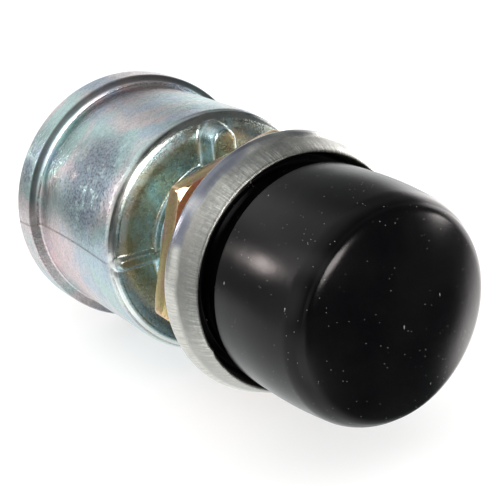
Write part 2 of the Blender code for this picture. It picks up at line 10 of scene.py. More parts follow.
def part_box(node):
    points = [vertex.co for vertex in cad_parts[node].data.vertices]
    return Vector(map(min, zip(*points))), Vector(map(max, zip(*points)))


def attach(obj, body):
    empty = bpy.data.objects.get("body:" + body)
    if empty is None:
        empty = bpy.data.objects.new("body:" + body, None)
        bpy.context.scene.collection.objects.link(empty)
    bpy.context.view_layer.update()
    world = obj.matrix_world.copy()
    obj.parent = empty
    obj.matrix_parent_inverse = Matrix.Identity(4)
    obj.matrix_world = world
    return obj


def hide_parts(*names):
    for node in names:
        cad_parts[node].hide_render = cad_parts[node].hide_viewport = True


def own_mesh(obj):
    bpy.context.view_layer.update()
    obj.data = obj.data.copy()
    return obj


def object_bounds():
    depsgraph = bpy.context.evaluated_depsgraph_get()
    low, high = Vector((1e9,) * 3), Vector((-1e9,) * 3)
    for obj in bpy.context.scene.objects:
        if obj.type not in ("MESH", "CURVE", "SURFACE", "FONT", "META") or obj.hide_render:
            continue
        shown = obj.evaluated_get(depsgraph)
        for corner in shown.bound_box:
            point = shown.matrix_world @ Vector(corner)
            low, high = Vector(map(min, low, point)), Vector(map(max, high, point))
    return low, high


# Looks of a sealed panel-mount push button. Its axis lies along Y, the button faces -Y and the key lug +Z.
# Lengths are in millimetres. A station is a distance along the axis, positive towards the button.

MM = 0.001
PITCH = 1.5875
STUD_PITCH = 0.7

# Housing
BODY_BACK_RADIUS = 17.87
BODY_FRONT_RADIUS = 17.57
BODY_FRONT = -13.6
CORNER_DROP = 1.25
CORNER_SLOPE = 0.52
CORNER_MIDDLE = 16.75
CORNER_INNER = 15.1
FLANGE_FRONT = -36.8
FLANGE_SLOPE = 0.58
CAVITY_RADIUS = 15.2
CAVITY_FRONT = -17.6
SHOULDER = -36.9
COUNTERBORE_RADIUS = 17.0
GROOVE_RADIUS = 17.8
GROOVE_FRONT = -39.7
GROOVE_BACK = -41.0
BOSS_RADIUS = 10.75
BOSS_FRONT = -11.9
STEM_MAJOR = 9.5
STEM_RELIEF = 8.6
THREAD_BACK = -10.4
STEM_ROOT = 8.64
STEM_SOCKET = 8.9
STEM_BORE = 5.2
LUG_END = 15.8
LUG_TOP = -10.5
LUG_HALF = 1.85
LUG_FOOT = 2.3
RIB_END = 16.4
RIB_TOP = -13.05
RIB_HALF = 0.62
RIB_FOOT = 0.95
SEAM_BOW = 0.55
SEAM_BACK = -42.6
SEAM_WIDTH = 0.13
SEAM_HEIGHT = 0.055
LUG_SPREAD = 13.5

# Nut and lock washer
NUT_FLATS = 28.575
NUT_CHAMFER_RADIUS = 15.65
NUT_CORNER = math.radians(14.5)
NUT_BORE = 9.62
NUT_CREST = 8.95
CORNER_EASE = 0.105
TOOTH_ROOT = 11.4
TOOTH_TIP = 9.9
TEETH = 12

# Face ring, insert and boot
RING_EDGE = 17.5
RING_CORNER_RADIUS = 16.9
RING_CORNER = 3.54
RING_MOUTH = 15.4
RING_WALL = 15.2
RING_WEB_FRONT = 2.9
RING_HOLE = 10.9
CAP_EDGE_RADIUS = 14.75
CAP_SHOULDER_RADIUS = 14.16
CAP_SHOULDER_ROUND = 3.4
CAP_CROWN_RADIUS = 34.0
CAP_BULGE = 0.38
CAP_LIP_RADIUS = 14.1
CAP_LIP_DROP = 0.25
CAP_WALL = 12.5
CAP_ROOF = 23.75
SKIRT_RADIUS = 13.9
SKIRT_THICKNESS = 0.8

# Plunger, springs and terminals
SHAFT_RADIUS = 3.0
TAIL_RADIUS = 2.2
SHAFT_STEP = -24.2
TAPPED_HOLE = 1.65
CLIP_GROOVE = 0.6
DISC_BORE = 3.35
TERMINAL_X = 8.6
STUD_RADIUS = 1.95
STUD_HOLE = 2.2
STUD_BORE = 2.25
TERMINAL_NUT_FLATS = 7.0
BASE_PLATFORM = 14.3
BASE_BACK = -43.4
BARRIER_HALF = 1.0
BARRIER_TALL = 12.5

# Places with a look of their own, some painted dark or light as painted reflections and highlights: radius,
# angle from +X towards +Z, station
# Worn places on the casting, rougher and painted dark as a painted reflection.
WORN_AND_PAINTED_DARK_BODY = (17.7, 149.0, -23.0)
WORN_AND_PAINTED_DARK_FLANGE = (19.6, 155.0, -39.5)
ROSY_LOW = (17.8, 196.0, -31.0)
ROSY_TOP = (17.8, 101.0, -34.5)
# A painted highlight and a painted dark reflection on the ring's face.
PAINTED_HIGHLIGHT_RING = (16.0, 134.0, 5.0)
PAINTED_DARK_RING = (16.0, 163.0, 5.0)

# Floor, lamp (metres and watts) and camera
FLOOR_DROP = 0.5
LAMP_DIRECTION = (-20.0, 72.0)
LAMP_DISTANCE = 0.9
LAMP_SIZE = 0.8
LAMP_POWER = 1.5
CAMERA_LENS = 76.76
CAMERA_PLACE = (-69.55, -109.41, 51.13)
CAMERA_RIGHT = (0.8376, -0.5398, -0.0845)
CAMERA_BACK = (-0.4805, -0.8014, 0.3561)

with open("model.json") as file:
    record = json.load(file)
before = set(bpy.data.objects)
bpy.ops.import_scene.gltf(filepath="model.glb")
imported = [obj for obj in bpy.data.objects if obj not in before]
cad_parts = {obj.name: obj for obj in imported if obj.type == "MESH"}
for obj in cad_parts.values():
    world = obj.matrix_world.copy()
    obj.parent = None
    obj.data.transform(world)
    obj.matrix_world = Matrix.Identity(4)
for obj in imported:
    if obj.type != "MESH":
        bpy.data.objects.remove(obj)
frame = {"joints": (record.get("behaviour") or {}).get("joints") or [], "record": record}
CAD_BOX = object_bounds()
RECORD = frame["record"]
BODY_OF = {node: body for body, nodes in RECORD["behaviour"]["bodies"].items() for node in nodes}
SLOT_OF = {part["node"]: part["material_slot"] for part in RECORD["subparts"]}
JOINT_OF = {joint["name"]: joint for joint in frame["joints"]}


# ---- outlines and grids

def extent(node):
    """Outer radius, back station and front station of a CAD node, in millimetres."""
    low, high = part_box(node)
    return (high.x - low.x) / 2 / MM, -high.y / MM, -low.y / MM


def unit(value):
    """The value held between 0 and 1."""
    return np.clip(value, 0.0, 1.0)


def around(count):
    """Evenly spaced angles about the axis, from +X towards +Z."""
    return np.arange(count) * math.tau / count


def rounded(corners, closed=True, step=14.0):
    """Outline points of (radius, station, fillet) corners, each fillet drawn as an arc."""
    points = []
    count = len(corners)
    for index, corner in enumerate(corners):
        here = np.array(corner[:2], float)
        fillet = corner[2] if len(corner) > 2 else 0.0
        at_end = not closed and index in (0, count - 1)
        if fillet == 0.0 or at_end:
            points.append(here)
            continue
        before = np.array(corners[index - 1][:2], float) - here
        after = np.array(corners[(index + 1) % count][:2], float) - here
        before_length = np.linalg.norm(before)
        after_length = np.linalg.norm(after)
        before /= before_length
        after /= after_length
        half = math.acos(np.clip(before @ after, -1.0, 1.0)) / 2
        reach = min(fillet / math.tan(half), 0.48 * before_length, 0.48 * after_length)
        radius = reach * math.tan(half)
        bisector = (before + after) / np.linalg.norm(before + after)
        centre = here + bisector * radius / math.sin(half)
        first = here + before * reach - centre
        last = here + after * reach - centre
        turn = math.pi - 2 * half
        steps = max(2, math.ceil(math.degrees(turn) / step))
        hold = min(0.35 * radius, 0.2 * before_length, 0.2 * after_length)
        points.append(centre + first + before * hold)
        for part in range(steps + 1):
            share = part / steps
            arm = first * math.sin((1 - share) * turn) + last * math.sin(share * turn)
            points.append(centre + arm / math.sin(turn))
        points.append(centre + last + after * hold)
    return np.array(points)


def filled(points, spacing, closed=True):
    """The outline with extra points, so that no stretch is longer than the spacing."""
    dense = []
    count = len(points) if closed else len(points) - 1
    for index in range(count):
        here = points[index]
        after = points[(index + 1) % len(points)]
        parts = max(1, math.ceil(np.linalg.norm(after - here) / spacing))
        dense += [here + (after - here) * part / parts for part in range(parts)]
    if not closed:
        dense.append(points[-1])
    return np.array(dense)


def spun(outline, angles, shape=None, x=0.0):
    """Grid of points of an outline turned about an axis at x; shape may move them before they turn."""
    radius = np.repeat(outline[:, :1], len(angles), axis=1)
    station = np.repeat(outline[:, 1:2], len(angles), axis=1)
    angle = np.repeat(angles[None, :], len(outline), axis=0)
    if shape:
        radius, station, angle = shape(radius, station, angle)
    return np.stack([x + radius * np.cos(angle), -station, radius * np.sin(angle)], axis=2)


def mesh_from(name, grids):
    """One mesh from (points, rows close, columns close) grids, welded where they meet.

    Columns that don't close get an end face on both sides, unless the value is None. A None for the rows
    puts a face across the first and last row.
    """
    points = []
    faces = []
    start = 0
    for grid, rows_close, columns_close in grids:
        rows, columns = grid.shape[:2]
        index = start + np.arange(rows * columns).reshape(rows, columns)
        if columns_close is False:
            faces.append(index[:, 0].tolist())
            faces.append(index[::-1, -1].tolist())
        if rows_close is None:
            faces += [index[0].tolist(), index[-1][::-1].tolist()]
        if rows_close:
            index = np.vstack([index, index[:1]])
        if columns_close:
            index = np.hstack([index, index[:, :1]])
        quads = np.stack([index[:-1, :-1], index[:-1, 1:], index[1:, 1:], index[1:, :-1]], axis=2)
        faces += quads.reshape(-1, 4).tolist()
        points.append(grid.reshape(-1, 3) * MM)
        start += rows * columns
    mesh = bpy.data.meshes.new(name)
    mesh.from_pydata(np.concatenate(points).tolist(), [], faces)
    weld(mesh)
    return mesh


def weld(mesh):
    """Merge coincident points and turn every face outwards."""
    bm = bmesh.new()
    bm.from_mesh(mesh)
    bmesh.ops.remove_doubles(bm, verts=bm.verts, dist=1e-6)
    bmesh.ops.dissolve_degenerate(bm, edges=bm.edges, dist=1e-7)
    bmesh.ops.recalc_face_normals(bm, faces=bm.faces)
    bm.to_mesh(mesh)
    bm.free()


def piece(node, made, sharp=32.0, name=None):
    """A finished piece of grids or a mesh that stands for a CAD node, rides its body and takes its finish."""
    name = name or f"{node}_detail"
    mesh = mesh_from(name, made) if isinstance(made, list) else made
    mesh.materials.append(MATERIALS[SLOT_OF[node]])
    mesh.shade_smooth()
    mesh.set_sharp_from_angle(angle=math.radians(sharp))
    item = bpy.data.objects.new(name, mesh)
    bpy.context.scene.collection.objects.link(item)
    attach(item, BODY_OF[node])
    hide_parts(node)
    return item


def turned(node, outline, columns=96, shape=None, x=0.0, sharp=32.0):
    """A turned piece for a CAD node. The outline is closed unless it starts and ends on the axis."""
    closed = not (outline[0][0] == 0.0 and outline[-1][0] == 0.0)
    return piece(node, [(spun(np.array(outline, float), around(columns), shape, x), closed, True)], sharp)


def washer_outline(inner, outer, back, front, edge=0.12):
    """Outline of a flat ring with softened edges."""
    corners = [(inner, back, edge), (outer, back, edge), (outer, front, edge), (inner, front, edge)]
    return rounded(corners, step=30.0)


def washer(node, inner, edge=0.12, columns=64, x=0.0):
    """A flat ring for a CAD node."""
    turned(node, washer_outline(inner, *extent(node), edge), columns, x=x)


# ---- threads, hexagons, coils, plates

def thread_depth(phase):
    """Share of the full depth of a 60 degree thread at a phase from 0 to 1 along one pitch."""
    flank = 0.3125
    crest = 0.0625
    away = np.minimum(phase % 1.0, 1.0 - phase % 1.0)
    return unit((away - crest) / flank)


def thread_grid(crest, root, pitch, back, front, columns, limit, start, x=0.0):
    """Helical grid of a right-handed thread with a crest at the start station at angle 0.

    Limit bounds the radius at a station. The last column repeats the first one turn on, so the seam welds.
    """
    phases = np.array([0.0, 0.0625, 0.16, 0.27, 0.375, 0.50, 0.625, 0.73, 0.84, 0.9375])
    angles = np.linspace(0.0, math.tau, columns + 1)
    first = math.floor((back - start) / pitch) - 1
    last = math.ceil((front - start) / pitch) + 1
    steps = (np.arange(first, last)[:, None] + phases[None, :]).ravel()
    station = start + (steps[:, None] + angles[None, :] / math.tau) * pitch
    radius = crest + (root - crest) * thread_depth(steps)[:, None] + 0.0 * angles[None, :]
    station = np.clip(station, back, front)
    radius = limit(radius, station)
    return np.stack([x + radius * np.cos(angles), -station, radius * np.sin(angles)], axis=2)


def hexagon_radius(flats, angle, corner):
    """Distance from the axis to a hexagon's side, with its corners slightly eased."""
    turn = (angle - corner) % (math.pi / 3) - math.pi / 6
    reach = flats / 2 / np.cos(turn)
    return np.minimum(reach, flats / math.sqrt(3.0) - CORNER_EASE)


def hexagon_angles(corner, per_side):
    """Angles that hit each corner of a hexagon and crowd near it."""
    share = np.arange(per_side) / per_side
    eased = 0.5 - 0.5 * np.cos(math.pi * share)
    sides = corner + (np.arange(6)[:, None] + eased[None, :]) * math.pi / 3
    return sides.ravel()


def hex_nut(node, flats, back, front, chamfer, bore, corner, per_side, x=0.0, thread=None):
    """Hexagonal nut chamfered on both faces; thread is (crest, pitch, start) or None for a plain bore."""
    angles = hexagon_angles(corner, per_side)
    side = hexagon_radius(flats, angles, corner)
    slope = math.tan(math.radians(30.0))
    edge = 0.05
    face = np.minimum(side, chamfer)
    rise = np.maximum((side - chamfer) * slope, 0.0)
    lead = 0.45 if thread else 0.25
    halves = []
    for end, way in ((back, 1.0), (front, -1.0)):
        flat = np.full_like(side, end)
        chamfered = end + way * rise
        halves.append([
            (np.full_like(side, bore + lead), flat), (face - edge, flat), (face, flat + way * edge * 0.4),
            (side - edge * 0.5, chamfered + way * edge), (side, chamfered + way * edge * 2.5),
        ])
    rows = halves[0] + halves[1][::-1]
    points = [np.stack([x + r * np.cos(angles), -s, r * np.sin(angles)], axis=1) for r, s in rows]
    grids = [(np.stack(points), False, True)]
    if thread:
        crest, pitch, start = thread
        top = bore + lead

        def limit(radius, station):
            depth = np.minimum(station - back, front - station)
            return np.maximum(radius, top - depth * 1.2)

        helix = thread_grid(crest, bore, pitch, back, front, 6 * per_side, limit, start, x)
        grids.append((helix, False, None))
    else:
        wall = [(bore + lead, back), (bore, back + lead), (bore, front - lead), (bore + lead, front)]
        grids.append((spun(np.array(wall), angles, None, x), False, True))
    return piece(node, grids, 24.0)


def coil(node, mean, wire, turns, back, front, dead=0.9, sides=12, steps=30):
    """Compression spring whose closed end turns are ground flat."""
    live_turns = turns - 2 * dead
    dead_rise = wire * 1.02
    inset = wire * 0.25
    first = back + inset
    last = front - inset
    pitch = (last - first - 2 * dead * dead_rise) / live_turns
    turn = np.linspace(0.0, turns, round(turns * steps))
    live = np.clip(turn - dead, 0.0, live_turns)
    centre = first + (turn - live) * dead_rise + live * pitch
    angle = turn * math.tau
    around_wire = np.arange(sides)[:, None] * math.tau / sides
    radius = mean + wire / 2 * np.cos(around_wire) + 0.0 * angle[None, :]
    station = np.clip(centre[None, :] + wire / 2 * np.sin(around_wire), back, front)
    points = np.stack([radius * np.cos(angle), -station, radius * np.sin(angle)], axis=2)
    return piece(node, [(points, True, False)], 50.0)


def split_ring(node, outline, gap, x=0.0, columns=72, facing=-90.0, rise=0.0, shape=None):
    """A turned ring with a slot; rise lifts one end of it along the axis, as on a spring washer."""
    start = math.radians(facing + gap / 2)
    sweep = math.tau - math.radians(gap)
    angles = start + np.linspace(0.0, 1.0, columns) * sweep

    def twist(radius, station, angle):
        if shape:
            radius, station, angle = shape(radius, station, angle)
        share = (angle - start) / sweep - 0.5
        return radius, station + rise * share, angle

    return piece(node, [(spun(np.array(outline, float), angles, twist, x), True, False)], 40.0)


def boolean(target, cutter, operation):
    """Apply an exact Boolean to an unlinked pair of meshes and return the new mesh."""
    bodies = [bpy.data.objects.new("boolean_body", mesh) for mesh in (target, cutter)]
    for body in bodies:
        bpy.context.scene.collection.objects.link(body)
    modifier = bodies[0].modifiers.new("cut", "BOOLEAN")
    modifier.operation = operation
    modifier.solver = "EXACT"
    modifier.object = bodies[1]
    evaluated = bodies[0].evaluated_get(bpy.context.evaluated_depsgraph_get())
    made = bpy.data.meshes.new_from_object(evaluated)
    for body in bodies:
        bpy.data.objects.remove(body, do_unlink=True)
    return made


# ---- housing

def foot_profile(half, foot, height, top_round, foot_round):
    """Section of a raised key: distance from its core and share of its height, along its surface."""
    corners = [(0.0, height), (half, height, top_round), (foot, 0.0, foot_round), (foot + 1.1, 0.0)]
    points = rounded(corners, closed=False, step=8.0)
    length = np.concatenate([[0.0], np.cumsum(np.linalg.norm(np.diff(points, axis=0), axis=1))])
    return length / length[-1], points[:, 0], points[:, 1] / height


def raise_key(px, pz, station, direction, core_end, section, top, lifted):
    """Lift the points near a round-ended key and spread them along its walls."""
    share, distance, height = section
    reach = distance[-1]
    along = px * direction[0] + pz * direction[1]
    across = px * direction[1] - pz * direction[0]
    beyond = np.maximum(along - core_end, 0.0)
    away = np.hypot(across, beyond)
    ahead = along > 0.0
    near = lifted & ahead & (away < reach)
    moved = np.interp(away / reach, share, distance)
    lift = np.interp(away / reach, share, height)
    scale = np.where(near & (away > 1e-9), moved / np.maximum(away, 1e-9), 1.0)
    new_across = across * scale
    new_along = np.where(beyond > 0.0, core_end + beyond * scale, along)
    new_station = np.where(near, station + np.maximum(top - station, 0.0) * lift, station)
    px = np.where(near, new_along * direction[0] + new_across * direction[1], px)
    pz = np.where(near, new_along * direction[1] - new_across * direction[0], pz)
    return px, pz, new_station


def housing_angles():
    """Angles that crowd together at the key lug and along the mould's parting line."""
    angles = []
    angle = -180.0
    while angle < 179.9:
        angles.append(angle)
        from_seam = min(abs(angle), 180.0 - abs(angle))
        from_lug = abs(angle - 90.0)
        if from_seam < 4.9:
            angle += 0.25
        elif from_seam < 8.9 or from_lug < 15.9:
            angle += 0.5
        else:
            angle += 1.5
    return np.radians(angles)


def housing_casting():
    """Die-cast cup with a flange, a boss, a key lug, parting ribs and a raised parting line."""
    radius, back, _ = extent("housing")
    body_front = [
        (radius - 0.12, FLANGE_FRONT - FLANGE_SLOPE, 0.22), (BODY_BACK_RADIUS + 0.02, FLANGE_FRONT, 0.45),
        (BODY_FRONT_RADIUS, BODY_FRONT - CORNER_DROP, 1.5), (CORNER_MIDDLE, BODY_FRONT - CORNER_SLOPE, 2.4),
        (CORNER_INNER, BODY_FRONT, 6.0),
        (BOSS_RADIUS, BODY_FRONT, 0.75),
        (BOSS_RADIUS, BOSS_FRONT, 0.5), (STEM_SOCKET, BOSS_FRONT),
    ]
    inside = [
        (STEM_SOCKET, CAVITY_FRONT), (CAVITY_RADIUS, CAVITY_FRONT, 0.8), (CAVITY_RADIUS, SHOULDER, 0.1),
        (COUNTERBORE_RADIUS, SHOULDER, 0.2), (COUNTERBORE_RADIUS, GROOVE_FRONT, 0.05),
        (GROOVE_RADIUS, GROOVE_FRONT, 0.05), (GROOVE_RADIUS, GROOVE_BACK, 0.05),
        (COUNTERBORE_RADIUS, GROOVE_BACK, 0.05), (COUNTERBORE_RADIUS, back, 0.25), (radius - 0.04, back, 0.6),
    ]
    outline = filled(rounded(body_front + inside, step=11.0), 1.3)
    face_rows = (outline[:, 1] > BODY_FRONT - 0.4) & (outline[:, 0] > BOSS_RADIUS - 0.2)
    first, last = np.flatnonzero(face_rows)[[0, -1]]
    outline = np.concatenate([
        outline[:first], filled(outline[first:last + 1], 0.3, closed=False), outline[last + 1:],
    ])
    angles = housing_angles()
    from_lug = np.abs(np.degrees(angles) - 90.0)
    parallel = unit((22.0 - from_lug) / 9.0)[None, :]
    parallel = parallel * parallel * (3.0 - 2.0 * parallel)
    ring = outline[:, :1]
    station = outline[:, 1:2] + 0.0 * angles[None, :]
    px = np.cos(angles)[None, :] * (ring * (1.0 - parallel) + LUG_SPREAD * parallel)
    pz = np.sign(np.sin(angles))[None, :] * np.sqrt(np.maximum(ring ** 2 - px ** 2, 0.0))
    outside = ring > STEM_SOCKET - 0.01
    face = outside & (station > BODY_FRONT - 2.5 * CORNER_DROP) & (ring < BODY_FRONT_RADIUS + 0.01)
    face &= ~((ring < STEM_SOCKET + 0.01) & (station < BOSS_FRONT - 0.01))
    lug = foot_profile(LUG_HALF, LUG_FOOT, LUG_TOP - BODY_FRONT, 0.55, 0.8)
    px, pz, station = raise_key(px, pz, station, (0.0, 1.0), LUG_END - LUG_HALF, lug, LUG_TOP, face)
    rib = foot_profile(RIB_HALF, RIB_FOOT, RIB_TOP - BODY_FRONT, 0.55, 0.45)
    for side in (-1.0, 1.0):
        px, pz, station = raise_key(px, pz, station, (side, 0.0), RIB_END - RIB_HALF, rib, RIB_TOP, face)
    skin = (ring > BODY_FRONT_RADIUS - 0.9) & (station < BODY_FRONT - CORNER_DROP) & (station > back + 0.3)
    run = unit((station - SEAM_BACK) / (BODY_FRONT - SEAM_BACK))
    bow = SEAM_BOW * np.sin(math.pi * run) * np.sign(-px)
    ragged = np.sin(station * 5.1) * np.sin(station * 2.3)
    ridge = np.exp(-(((pz - bow) / SEAM_WIDTH) ** 2)) * (SEAM_HEIGHT + 0.02 * ragged)
    angle = np.arctan2(pz, px)
    wave = 0.018 * np.sin(3.0 * angle + 0.7) + 0.012 * np.sin(7.0 * angle + station * 0.45)
    swell = np.where(skin, ridge + wave * unit((BODY_FRONT - CORNER_DROP - station) / 1.5), 0.0)
    reach = np.maximum(np.hypot(px, pz), 1e-6)
    px = px * (1.0 + swell / reach)
    pz = pz * (1.0 + swell / reach)
    grid = np.stack([px, -station, pz], axis=2)
    return piece("housing", [(grid, True, True)], 38.0, "housing_casting")


def housing_stem():
    """Threaded stem of the housing, with its guide bore."""
    _, _, front = extent("housing")
    angles = around(128)
    top = STEM_MAJOR - 0.95

    def limit(radius, station):
        run_out = unit((station - THREAD_BACK) / PITCH)
        bounded = np.minimum(radius, STEM_RELIEF + (STEM_MAJOR - STEM_RELIEF) * run_out)
        return np.minimum(bounded, top + (front - station) * 1.0)

    lower = rounded([
        (top, front), (STEM_BORE, front, 0.3), (STEM_BORE, CAVITY_FRONT, 0.2),
        (STEM_SOCKET - 0.02, CAVITY_FRONT),
        (STEM_SOCKET - 0.02, BOSS_FRONT + 0.05), (STEM_RELIEF + 0.55, BOSS_FRONT + 0.02),
        (STEM_RELIEF, BOSS_FRONT + 0.9, 0.5), (STEM_RELIEF, THREAD_BACK),
    ], closed=False)
    helix = thread_grid(STEM_MAJOR, STEM_ROOT, PITCH, THREAD_BACK, front, 128, limit, THREAD_BACK)
    grids = [(spun(lower, angles), False, True), (helix, False, None)]
    return piece("housing", grids, 40.0, "housing_stem")


# ---- nut, washer, ring and boot

def mounting_nut():
    """Thin hexagonal nut on the stem's thread."""
    _, back, front = extent("mounting_nut")
    return hex_nut(
        "mounting_nut", NUT_FLATS, back, front, NUT_CHAMFER_RADIUS, NUT_BORE, NUT_CORNER, 28,
        thread=(NUT_CREST, PITCH, THREAD_BACK + PITCH / 2),
    )


def lock_washer():
    """Internal-tooth lock washer with twisted teeth."""
    radius, back, front = extent("lock_washer")
    pitch = math.tau / TEETH

    def teeth(ring, station, angle):
        phase = (angle % pitch) / pitch
        tooth = unit((0.5 - np.abs(phase - 0.75) * 2.0 - 0.06) / 0.08)
        inner = TOOTH_ROOT + (TOOTH_TIP - TOOTH_ROOT) * tooth
        share = unit((radius - ring) / (radius - TOOTH_ROOT))
        lean = (phase - 0.75) * 0.7 * tooth * unit((share - 0.3) / 0.7)
        return ring + (inner - TOOTH_ROOT) * share, station + lean, angle

    middle = (back + front) / 2
    half = (front - back) / 2 - 0.1
    outline = filled(washer_outline(TOOTH_ROOT, radius, middle - half, middle + half, 0.1), 0.7)
    return turned("lock_washer", outline, 288, teeth)


def face_ring():
    """Dished steel ring with a rounded lip, a conical face and a pressed edge."""
    _, back, front = extent("face_ring")
    corners = [
        (RING_HOLE, back, 0.1), (RING_EDGE - 0.1, back, 0.3), (RING_EDGE, back + 0.5, 0.3),
        (RING_EDGE - 0.12, back + 1.2, 1.0), (RING_CORNER_RADIUS, RING_CORNER, 0.45),
        (RING_MOUTH + 1.02, front - 1.35, 2.5), (RING_MOUTH + 0.52, front - 0.22, 0.8),
        (RING_MOUTH + 0.16, front, 0.3), (RING_MOUTH - 0.03, front - 0.5, 0.25),
        (RING_WALL, RING_WEB_FRONT, 0.3), (RING_HOLE, RING_WEB_FRONT, 0.1),
    ]
    outline = filled(rounded(corners, step=9.0), 0.8)
    nick = math.radians(203.0)

    def dents(radius, station, angle):
        lip = unit((station - RING_CORNER) / (front - RING_CORNER))
        turn = (angle - nick + math.pi) % math.tau - math.pi
        bite = 0.16 * np.exp(-((turn * RING_MOUTH / 0.28) ** 2)) * lip ** 6
        wave = 0.025 * np.sin(2.0 * angle + 0.6) + 0.012 * np.sin(5.0 * angle)
        return radius - bite + wave * lip, station, angle

    return turned("face_ring", outline, 360, dents)


def threaded_insert():
    """Flanged bush that clamps the boot in the ring."""
    radius, back, front = extent("threaded_insert")
    bore, neck, flange = 9.62, 10.6, 4.65
    corners = [
        (bore, back, 0.2), (neck, back, 0.2), (neck, flange, 0.15), (radius, flange, 0.15),
        (radius, front, 0.3), (bore, front, 0.3),
    ]
    turned("threaded_insert", rounded(corners), 96)


def boot_cap():
    """Thick rubber button with a tapered side, a soft shoulder and a crowned front."""
    _, back, front = extent("boot_cap")
    round_centre = CAP_SHOULDER_RADIUS - CAP_SHOULDER_ROUND
    crown_centre = front - CAP_CROWN_RADIUS
    span = CAP_CROWN_RADIUS - CAP_SHOULDER_ROUND
    meeting = math.acos(round_centre / span)
    shoulder = crown_centre + span * math.sin(meeting)
    inner = rounded([
        (0.0, CAP_ROOF), (CAP_WALL, CAP_ROOF, 1.2), (CAP_WALL, back, 0.3), (CAP_LIP_RADIUS, back, 0.1),
        (CAP_LIP_RADIUS, back - CAP_LIP_DROP, 0.1), (CAP_EDGE_RADIUS, back - CAP_LIP_DROP, 0.35),
        (CAP_SHOULDER_RADIUS, shoulder),
    ], closed=False)
    inner = filled(inner, 0.9, closed=False)
    bend = np.linspace(0.0, meeting, 15)[1:]
    arc = np.stack([
        round_centre + CAP_SHOULDER_ROUND * np.cos(bend), shoulder + CAP_SHOULDER_ROUND * np.sin(bend),
    ], axis=1)
    sweep = np.linspace(meeting, math.pi / 2, 20)[1:]
    crown = np.stack([
        CAP_CROWN_RADIUS * np.cos(sweep), crown_centre + CAP_CROWN_RADIUS * np.sin(sweep),
    ], axis=1)
    crown[-1, 0] = 0.0
    outline = np.concatenate([inner, arc, crown])

    def soften(radius, station, angle):
        share = unit((station - back) / (front - back))
        wave = 0.05 * np.sin(2.0 * angle + 0.4) + 0.03 * np.sin(3.0 * angle - 1.1 + station * 0.12)
        barrel = CAP_BULGE * np.sin(math.pi * unit(share * 1.3))
        barrel = barrel - 0.1 * unit(share * 4.0)
        edge = radius > CAP_WALL + 0.5
        return np.where(edge, radius + wave * share + barrel, radius), station, angle

    return turned("boot_cap", outline, 192, soften, sharp=60.0)


def boot_skirt():
    """Thin rubber wall and clamped bead between the ring and the button."""
    radius, back, front = extent("boot_skirt")
    inner = SKIRT_RADIUS - SKIRT_THICKNESS
    hole, bead_outside, bead_inside, bend = 10.85, 3.9, 4.4, 6.2
    corners = [
        (hole, back, 0.2), (radius, back, 0.2), (radius, bead_outside, 0.3),
        (SKIRT_RADIUS - 0.3, bead_outside, 0.4), (SKIRT_RADIUS, bend, 1.2), (SKIRT_RADIUS - 0.15, front, 0.2),
        (inner - 0.15, front, 0.2), (inner, bend, 1.2), (inner - 0.3, bead_inside, 0.4),
        (hole, bead_inside, 0.3),
    ]
    skirt = turned("boot_skirt", rounded(corners), 128)
    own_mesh(skirt)
    return skirt


# ---- plunger and contact

def plunger_shaft():
    """Stepped shaft with a groove for each clip and a tapped front end."""
    _, back, front = extent("plunger_shaft")
    corners = [(0.0, back), (TAIL_RADIUS, back, 0.45)]
    for node, radius in (("tail_clip", TAIL_RADIUS), ("stop_clip", SHAFT_RADIUS)):
        _, clip_back, clip_front = extent(node)
        deep = radius - CLIP_GROOVE
        if node == "stop_clip":
            corners += [(TAIL_RADIUS, SHAFT_STEP, 0.15), (SHAFT_RADIUS, SHAFT_STEP, 0.25)]
        corners += [(radius, clip_back - 0.1, 0.05), (deep, clip_back - 0.1, 0.08)]
        corners += [(deep, clip_front + 0.1, 0.08), (radius, clip_front + 0.1, 0.05)]
    corners += [(SHAFT_RADIUS, front, 0.35), (TAPPED_HOLE, front, 0.1), (TAPPED_HOLE, 12.0, 0.2), (0.0, 11.2)]
    turned("plunger_shaft", rounded(corners, closed=False), 64)


def shaft_clip(node, shaft_radius):
    """Open retaining clip with two gripping lobes."""
    outer, back, front = extent(node)
    inner = shaft_radius - CLIP_GROOVE + 0.2
    outline = filled(washer_outline(inner, outer, back, front, 0.08), 0.4)

    def lobes(radius, station, angle):
        share = (radius - inner) / (outer - inner)
        grip = 0.35 * (0.5 - 0.5 * np.cos(3.0 * (angle + math.pi / 2)))
        return radius + grip * (1.0 - share), station, angle

    return split_ring(node, outline, 60.0, columns=60, shape=lobes)


def button_head():
    """Moulded head with a hub, a spring seat and a rounded rim."""
    radius, back, front = extent("button_head")
    socket, hub, web, recess = 3.25, 5.0, 9.0, 3.15
    seat, skirt, floor, socket_end = 17.9, 16.4, 20.75, 19.25
    corners = [
        (socket, back, 0.2), (hub, back, 0.3), (hub, seat, 0.5), (web, seat, 0.4),
        (web, skirt, 0.3), (radius, skirt, 0.5), (radius, front, 1.6), (recess, front, 0.3),
        (recess, floor, 0.1), (TAPPED_HOLE, floor, 0.1), (TAPPED_HOLE, socket_end, 0.05),
        (socket, socket_end, 0.1),
    ]
    turned("button_head", rounded(corners), 96)


def head_screw():
    """Slotted cheese-head screw."""
    radius, back, front = extent("head_screw")
    seat = front - 2.0
    corners = [
        (0.0, back), (1.4, back, 0.3), (1.4, seat, 0.1), (radius, seat, 0.15), (radius, front, 0.55),
        (0.0, front),
    ]
    grid = spun(rounded(corners, closed=False), around(48))
    body = mesh_from("head_screw_body", [(grid, False, True)])
    corners = ((-4.0, -0.4), (4.0, -0.4), (4.0, 0.4), (-4.0, 0.4))
    loops = np.array([[(x, -station, z) for x, z in corners] for station in (front - 0.95, front + 1.0)])
    slot = mesh_from("head_screw_slot", [(loops, None, True)])
    piece("head_screw", boolean(body, slot, "DIFFERENCE"))


